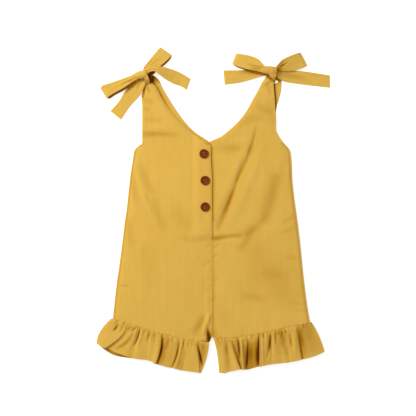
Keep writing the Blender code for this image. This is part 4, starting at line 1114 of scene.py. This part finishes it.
# Painted shade: the colours that the cloth turns towards where it is painted deeper in shade.
CLOTH_SHADE = (0.360, 0.150, 0.001, 1.0)
CLOTH_DEEP_SHADE = (0.082, 0.012, 0.001, 1.0)


def feed(node, inputs):
    """Give a node's inputs each a socket or a value."""
    for key, value in inputs.items():
        if isinstance(value, bpy.types.NodeSocket):
            node.id_data.links.new(value, node.inputs[key])
        else:
            node.inputs[key].default_value = value


def new_node(tree, kind, inputs):
    node = tree.nodes.new("ShaderNode" + kind)
    feed(node, inputs)
    return node


def new_material(name):
    material = bpy.data.materials.new(name)
    material.use_nodes = True
    return material, material.node_tree, material.node_tree.nodes["Principled BSDF"]


def maths(tree, operation, *values):
    """The answer of a Math node to values that are sockets or numbers."""
    node = new_node(tree, "Math", dict(enumerate(values)))
    node.operation = operation
    return node.outputs[0]


def times(tree, first, second):
    return maths(tree, "MULTIPLY", first, second)


def plus(tree, first, second):
    return maths(tree, "ADD", first, second)


def ramp(tree, factor, stops):
    """A colour ramp with stops of (position, grey or colour)."""
    node = new_node(tree, "ValToRGB", {"Fac": factor})
    elements = node.color_ramp.elements
    while len(elements) < len(stops):
        elements.new(0.5)
    for element, (position, colour) in zip(elements, stops):
        element.position = position
        element.color = colour if hasattr(colour, "__len__") else (colour, colour, colour, 1.0)
    return node.outputs["Color"]


def scaled(tree, vector, scale, offset=(0.0, 0.0, 0.0)):
    node = new_node(tree, "Mapping", {"Vector": vector, "Scale": scale, "Location": offset})
    return node.outputs["Vector"]


def cloudy(tree, vector, scale, detail=2.0, roughness=0.5):
    return new_node(tree, "TexNoise", {"Vector": vector, "Scale": scale, "Detail": detail,
                                       "Roughness": roughness}).outputs["Fac"]


def mixed(tree, factor, first, second):
    node = new_node(tree, "Mix", {})
    node.data_type = "RGBA"
    feed(node, {"Factor": factor, 6: first, 7: second})
    return node.outputs[2]


def place_on_piece(tree):
    return new_node(tree, "TexCoord", {}).outputs["Object"]


def relieve(tree, shader, height, strength, distance):
    """Raise a surface by a height, the distance in millimetres."""
    bump = new_node(tree, "Bump", {"Strength": strength, "Distance": distance * MM, "Height": height})
    feed(shader, {"Normal": bump.outputs["Normal"]})


def linen_weave():
    """A node group for slubby plain weave: the relief of its threads, and their tone."""
    tree = bpy.data.node_groups.new("linen weave", "ShaderNodeTree")
    for name, way, kind in (("Place", "INPUT", "Vector"), ("Threads", "INPUT", "Float"),
                            ("Relief", "OUTPUT", "Float"), ("Tone", "OUTPUT", "Float")):
        tree.interface.new_socket(name, in_out=way, socket_type="NodeSocket" + kind)
    given = tree.nodes.new("NodeGroupInput")
    place, threads = given.outputs["Place"], given.outputs["Threads"]

    sway = times(tree, maths(tree, "SUBTRACT", cloudy(tree, place, 9.0, 3.0), 0.5), 0.012)
    apart = new_node(tree, "SeparateXYZ", {0: place})
    waves = [maths(tree, "SINE", times(tree, times(tree, plus(tree, side, sway), threads), math.pi))
             for side in (apart.outputs["X"], apart.outputs["Y"])]
    over = times(tree, times(tree, waves[0], waves[1]), 0.8)
    warp = times(tree, maths(tree, "ABSOLUTE", waves[0]), plus(tree, 0.6, over))
    weft = times(tree, maths(tree, "ABSOLUTE", waves[1]), maths(tree, "SUBTRACT", 0.6, over))

    warp_slub = cloudy(tree, scaled(tree, place, (110.0, 2.6, 1.0)), 1.0)
    weft_slub = cloudy(tree, scaled(tree, place, (3.2, 120.0, 1.0), (7.0, 3.0, 0.0)), 1.0)
    slubs = maths(tree, "MAXIMUM", ramp(tree, warp_slub, ((0.56, 0.0), (0.74, 1.0))),
                  ramp(tree, weft_slub, ((0.62, 0.0), (0.80, 0.5))))
    relief = times(tree, maths(tree, "MAXIMUM", warp, weft), 0.7)
    streaks = cloudy(tree, scaled(tree, place, (17.0, 1.8, 1.0), (1.0, 5.0, 0.0)), 1.0, 4.0, 0.6)
    bars = cloudy(tree, scaled(tree, place, (5.0, 60.0, 1.0), (4.0, 1.0, 0.0)), 1.0)
    tone = plus(tree, times(tree, streaks, 0.62), times(tree, bars, 0.32))
    feed(tree.nodes.new("NodeGroupOutput"),
         {"Relief": plus(tree, relief, times(tree, slubs, 0.25)),
          "Tone": plus(tree, tone, times(tree, slubs, 0.06))})
    return tree


def linen(name, weave):
    """Mustard linen and cotton: threads, slubs and cloudy dye, with painted shade in folds, seams and
    under other pieces.
    """
    material, tree, shader = new_material(name)
    grain = tree.nodes.new("ShaderNodeUVMap")
    grain.uv_map = "grain"
    threads = tree.nodes.new("ShaderNodeGroup")
    threads.node_tree = weave
    feed(threads, {"Place": grain.outputs["UV"], "Threads": THREAD_COUNT})
    fold = tree.nodes.new("ShaderNodeAttribute")
    fold.attribute_name = "fold"
    shade = fold.outputs["Fac"]

    cloud = cloudy(tree, place_on_piece(tree), 16.0, 3.0, 0.55)
    tone = plus(tree, times(tree, threads.outputs["Tone"], 0.62), times(tree, cloud, 0.38))
    colour = ramp(tree, tone, ((0.22, CLOTH_DARK), (0.78, CLOTH_LIGHT)))
    # Painted shade: the mid shade colour first, then the deepest shade colour where the painted shade is
    # strongest.
    colour = mixed(tree, ramp(tree, shade, ((0.0, 0.0), (0.60, 0.92))), colour, CLOTH_SHADE)
    colour = mixed(tree, ramp(tree, shade, ((0.58, 0.0), (1.0, 0.9))), colour, CLOTH_DEEP_SHADE)
    relieve(tree, shader, threads.outputs["Relief"], 0.55, 0.16)
    feed(shader, {"Base Color": colour, "Specular IOR Level": 0.02,
                  "Roughness": plus(tree, 0.80, times(tree, threads.outputs["Relief"], 0.10)),
                  "Sheen Weight": 0.04, "Sheen Roughness": 0.45,
                  "Sheen Tint": (1.0, 0.86, 0.55, 1.0)})
    return material


def sewing_thread(name, colour):
    """Spun thread, twisted finely along its length."""
    material, tree, shader = new_material(name)
    twist = cloudy(tree, place_on_piece(tree), 1800.0)
    pale = tuple(min(1.0, part * 1.25) for part in colour[:3]) + (1.0,)
    relieve(tree, shader, twist, 0.4, 0.08)
    feed(shader, {"Base Color": ramp(tree, twist, ((0.35, colour), (0.65, pale))),
                  "Roughness": 0.62, "Specular IOR Level": 0.1})
    return material


def turned_wood():
    """Dark waxed wood with fine grain."""
    material, tree, shader = new_material("dark waxed wood")
    place = place_on_piece(tree)
    grain = cloudy(tree, scaled(tree, place, (160.0, 1500.0, 400.0)), 1.0, 4.0, 0.6)
    broad = cloudy(tree, scaled(tree, place, (90.0, 420.0, 200.0)), 1.0)
    colour = ramp(tree, grain, ((0.30, WOOD_DARK), (0.52, WOOD_MIDDLE), (0.72, WOOD_LIGHT)))
    relieve(tree, shader, grain, 0.35, 0.06)
    feed(shader, {"Base Color": mixed(tree, times(tree, broad, 0.45), colour, WOOD_RED),
                  "Roughness": ramp(tree, grain, ((0.3, 0.66), (0.7, 0.50))),
                  "Specular IOR Level": 0.06})
    return material


# ----------------------------------------------------------------------------------- romper

weave = linen_weave()
cloths = {part + "_cloth": linen("mustard linen, " + words, weave)
          for part, words in (("body", "body"), ("ruffle", "ruffles"), ("tie", "ties"))}
mustard_thread = sewing_thread("mustard thread", (0.60, 0.36, 0.07, 1.0))
brown_thread = sewing_thread("brown thread", (0.26, 0.080, 0.014, 1.0))
wood = turned_wood()

# The cut of what shows of each piece: a width and a length that hold it, and its flat area.
Cut = namedtuple("Cut", "width length area")

laid = {}


def dress(piece, material, slot, *nodes):
    """Give a piece its material and its body, and hide the nodes that it stands for; slot is not used."""
    piece.data.materials.clear()
    piece.data.materials.append(material)
    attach(piece, "root")
    if nodes:
        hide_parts(*nodes)


def lay(piece, slot, node, cut, *under):
    """Dress a piece of cloth and put it in its node's place; its cut is not used.

    under, which names the nodes of the cloth that it rests on, is not used.
    """
    dress(piece, cloths[slot], slot, node)
    laid[node] = piece


lay(panel("back_right", BACK_RIGHT, back_rest, BACK_CELLS, BACK_CLOSE, back_look),
    "body_cloth", "back_right", Cut(150.0, 405.0, 43500.0))
lay(panel("back_left", BACK_LEFT, back_rest, BACK_CELLS, BACK_CLOSE, back_look),
    "body_cloth", "back_left", Cut(150.0, 395.0, 42500.0))
lay(panel("front_left", FRONT_LEFT, front_left_rest, PANEL_CELLS, FRONT_CLOSE, front_look),
    "body_cloth", "front_left", Cut(168.0, 400.0, 46000.0), "back_left")
lay(panel("front_right", FRONT_RIGHT, front_right_rest, PANEL_CELLS, FRONT_CLOSE, front_look),
    "body_cloth", "front_right", Cut(150.0, 405.0, 43500.0), "back_right")

for node, gathers, rows, full, cut, *under in (
        ("ruffle_back_right", RUFFLE_BACK_RIGHT, BACK_RIGHT, FULLNESS_BACK, Cut(165.0, 48.0, 7600.0)),
        ("ruffle_back_left", RUFFLE_BACK_LEFT, BACK_LEFT, FULLNESS_BACK, Cut(165.0, 48.0, 7500.0)),
        ("ruffle_front_right", RUFFLE_FRONT_RIGHT, FRONT_RIGHT, FULLNESS_RIGHT,
         Cut(190.0, 48.0, 9000.0), "ruffle_back_right"),
        ("ruffle_front_left", RUFFLE_FRONT_LEFT, FRONT_LEFT, FULLNESS_LEFT,
         Cut(200.0, 48.0, 9400.0), "ruffle_back_left")):
    lay(ruffle(node, gathers, rows, full), "ruffle_cloth", node, cut, *under)

# A stretch of tie that shows: how much deeper in shade its end at the knot lies, the row
# where a loop turns back, and its creases.
Stretch = namedtuple("Stretch", "node rows near turn creases cut")

for stretch in table(
        Stretch,
        ("loop_up_right", LOOP_UP_RIGHT, 0.1, 4.6, LOOP_UP_CREASES, Cut(21.2, 105.0, 1750.0)),
        ("tail_in_right", TAIL_IN_RIGHT, 0.0, None, (), Cut(21.2, 70.0, 1150.0)),
        ("loop_out_right", LOOP_OUT_RIGHT, 0.4, 5.6, LOOP_OUT_RIGHT_CREASES, Cut(21.2, 118.0, 1850.0)),
        ("tail_out_right", TAIL_OUT_RIGHT, 0.7, None, TAIL_OUT_RIGHT_CREASES, Cut(21.2, 74.0, 1400.0)),
        ("loop_in_left", LOOP_IN_LEFT, 0.1, 3.6, LOOP_IN_CREASES, Cut(21.2, 95.0, 1650.0)),
        ("tail_in_left", TAIL_IN_LEFT, 0.5, None, TAIL_IN_LEFT_CREASES, Cut(21.2, 66.0, 1150.0)),
        ("loop_out_left", LOOP_OUT_LEFT, 0.6, 3.6, LOOP_OUT_LEFT_CREASES, Cut(23.8, 95.0, 1700.0)),
        ("tail_out_left", TAIL_OUT_LEFT, 0.3, None, TAIL_OUT_LEFT_CREASES, Cut(21.2, 84.0, 1500.0))):
    ribbon = tie(stretch.node, stretch.rows, near=stretch.near, turn=stretch.turn,
                 creases=stretch.creases, free_end=stretch.node.startswith("tail"))
    lay(ribbon, "tie_cloth", stretch.node, stretch.cut)

for node, size, wraps, taper, shade in (
        ("knot_right", KNOT_RIGHT, WRAPS_RIGHT, Taper(0.66, 0.7, 0.95, 0.95), 0.03),
        ("knot_left", KNOT_LEFT, WRAPS_LEFT, Taper(0.5, 0.1, 0.92, 0.85), 0.10)):
    dress(knot(node, size, wraps, taper, shade), cloths["tie_cloth"], "tie_cloth", node)

for name, rows, shade, far in (("strand_right", STRAND_RIGHT, 0.0, 0.5),
                               ("strand_left", STRAND_LEFT, 0.05, 0.8),
                               ("turn_right", TURN_RIGHT, 1.0, 0.0),
                               ("turn_left", TURN_LEFT, 0.7, 0.0)):
    dress(tie(name, rows, shade, far=far), cloths["tie_cloth"], "tie_cloth")

for name, node, lines in (
        ("stitching_front_right", "front_right",
         (edge_line(FRONT_RIGHT, True, 5.0, 338.0, 207.0), edge_line(FRONT_RIGHT, True, 4.5, 425.0, 349.0),
          edge_line(FRONT_RIGHT, False, 4.5, 425.0, 348.0), leg_line(FRONT_RIGHT, 2.2))),
        ("stitching_front_left", "front_left",
         (edge_line(FRONT_LEFT, True, 4.5, 430.0, 352.0), edge_line(FRONT_LEFT, False, 4.5, 430.0, 346.0),
          leg_line(FRONT_LEFT, 2.2))),
        ("stitching_ruffle_right", "ruffle_front_right",
         (hem_line(RUFFLE_FRONT_RIGHT, FRONT_RIGHT, HEM_STITCHED),)),
        ("stitching_ruffle_left", "ruffle_front_left",
         (hem_line(RUFFLE_FRONT_LEFT, FRONT_LEFT, HEM_STITCHED),))):
    dress(stitching(name, laid[node], lines), mustard_thread, "body_cloth")

for node, x, y, turn in BUTTON_CENTRES:
    dress(button(node, x, y, turn), wood, "button_wood", node)
    dress(button_thread(node, x, y, turn), brown_thread, "button_wood")


# ----------------------------------------------------------------------------------- studio

VIEW_X = -7.8             # what the camera looks straight down on, from the part's origin
VIEW_Y = 3.1
VIEW_WIDTH = 624.0
CAMERA_HEIGHT = 1700.0
SENSOR = 36.0


def studio_floor():
    mesh = bmesh.new()
    bmesh.ops.create_grid(mesh, x_segments=1, y_segments=1, size=4.0)
    bmesh.ops.translate(mesh, verts=mesh.verts[:], vec=(0.0, 0.0, -0.0004))
    floor = finished("studio_floor", mesh)
    material, tree, shader = new_material("pale floor")
    feed(shader, {"Base Color": (0.75, 0.75, 0.75, 1.0), "Roughness": 0.9,
                  "Emission Color": (1.0, 1.0, 1.0, 1.0), "Emission Strength": 0.5})
    floor.data.materials.append(material)


def studio_light(name, energy, size, place):
    """A round lamp that shines on the middle of the romper."""
    lamp = bpy.data.lights.new(name, "AREA")
    lamp.energy = energy
    lamp.shape = "DISK"
    lamp.size = size
    light = placed(name, lamp)
    light.location = place
    light.rotation_euler = (-Vector(place)).to_track_quat("-Z", "Y").to_euler()


def studio_world():
    scene = bpy.context.scene
    scene.world = bpy.data.worlds.new("studio")
    scene.world.use_nodes = True
    feed(scene.world.node_tree.nodes["Background"], {"Color": (1.0, 1.0, 1.0, 1.0), "Strength": 0.51})
    scene.view_settings.view_transform = "Standard"


def studio_camera():
    """A camera that looks straight down on the romper."""
    data = bpy.data.cameras.new("camera")
    data.type = "PERSP"
    data.sensor_width = SENSOR
    data.lens = SENSOR * CAMERA_HEIGHT / VIEW_WIDTH
    camera = placed("camera", data)
    camera.location = (VIEW_X * MM, VIEW_Y * MM, CAMERA_HEIGHT * MM)
    bpy.context.scene.camera = camera


studio_floor()
studio_light("window", 32.2, 0.8, (-1.22, 0.95, 1.2))
studio_light("ceiling", 10.0, 2.4, (0.5, -0.4, 2.2))
studio_world()
studio_camera()
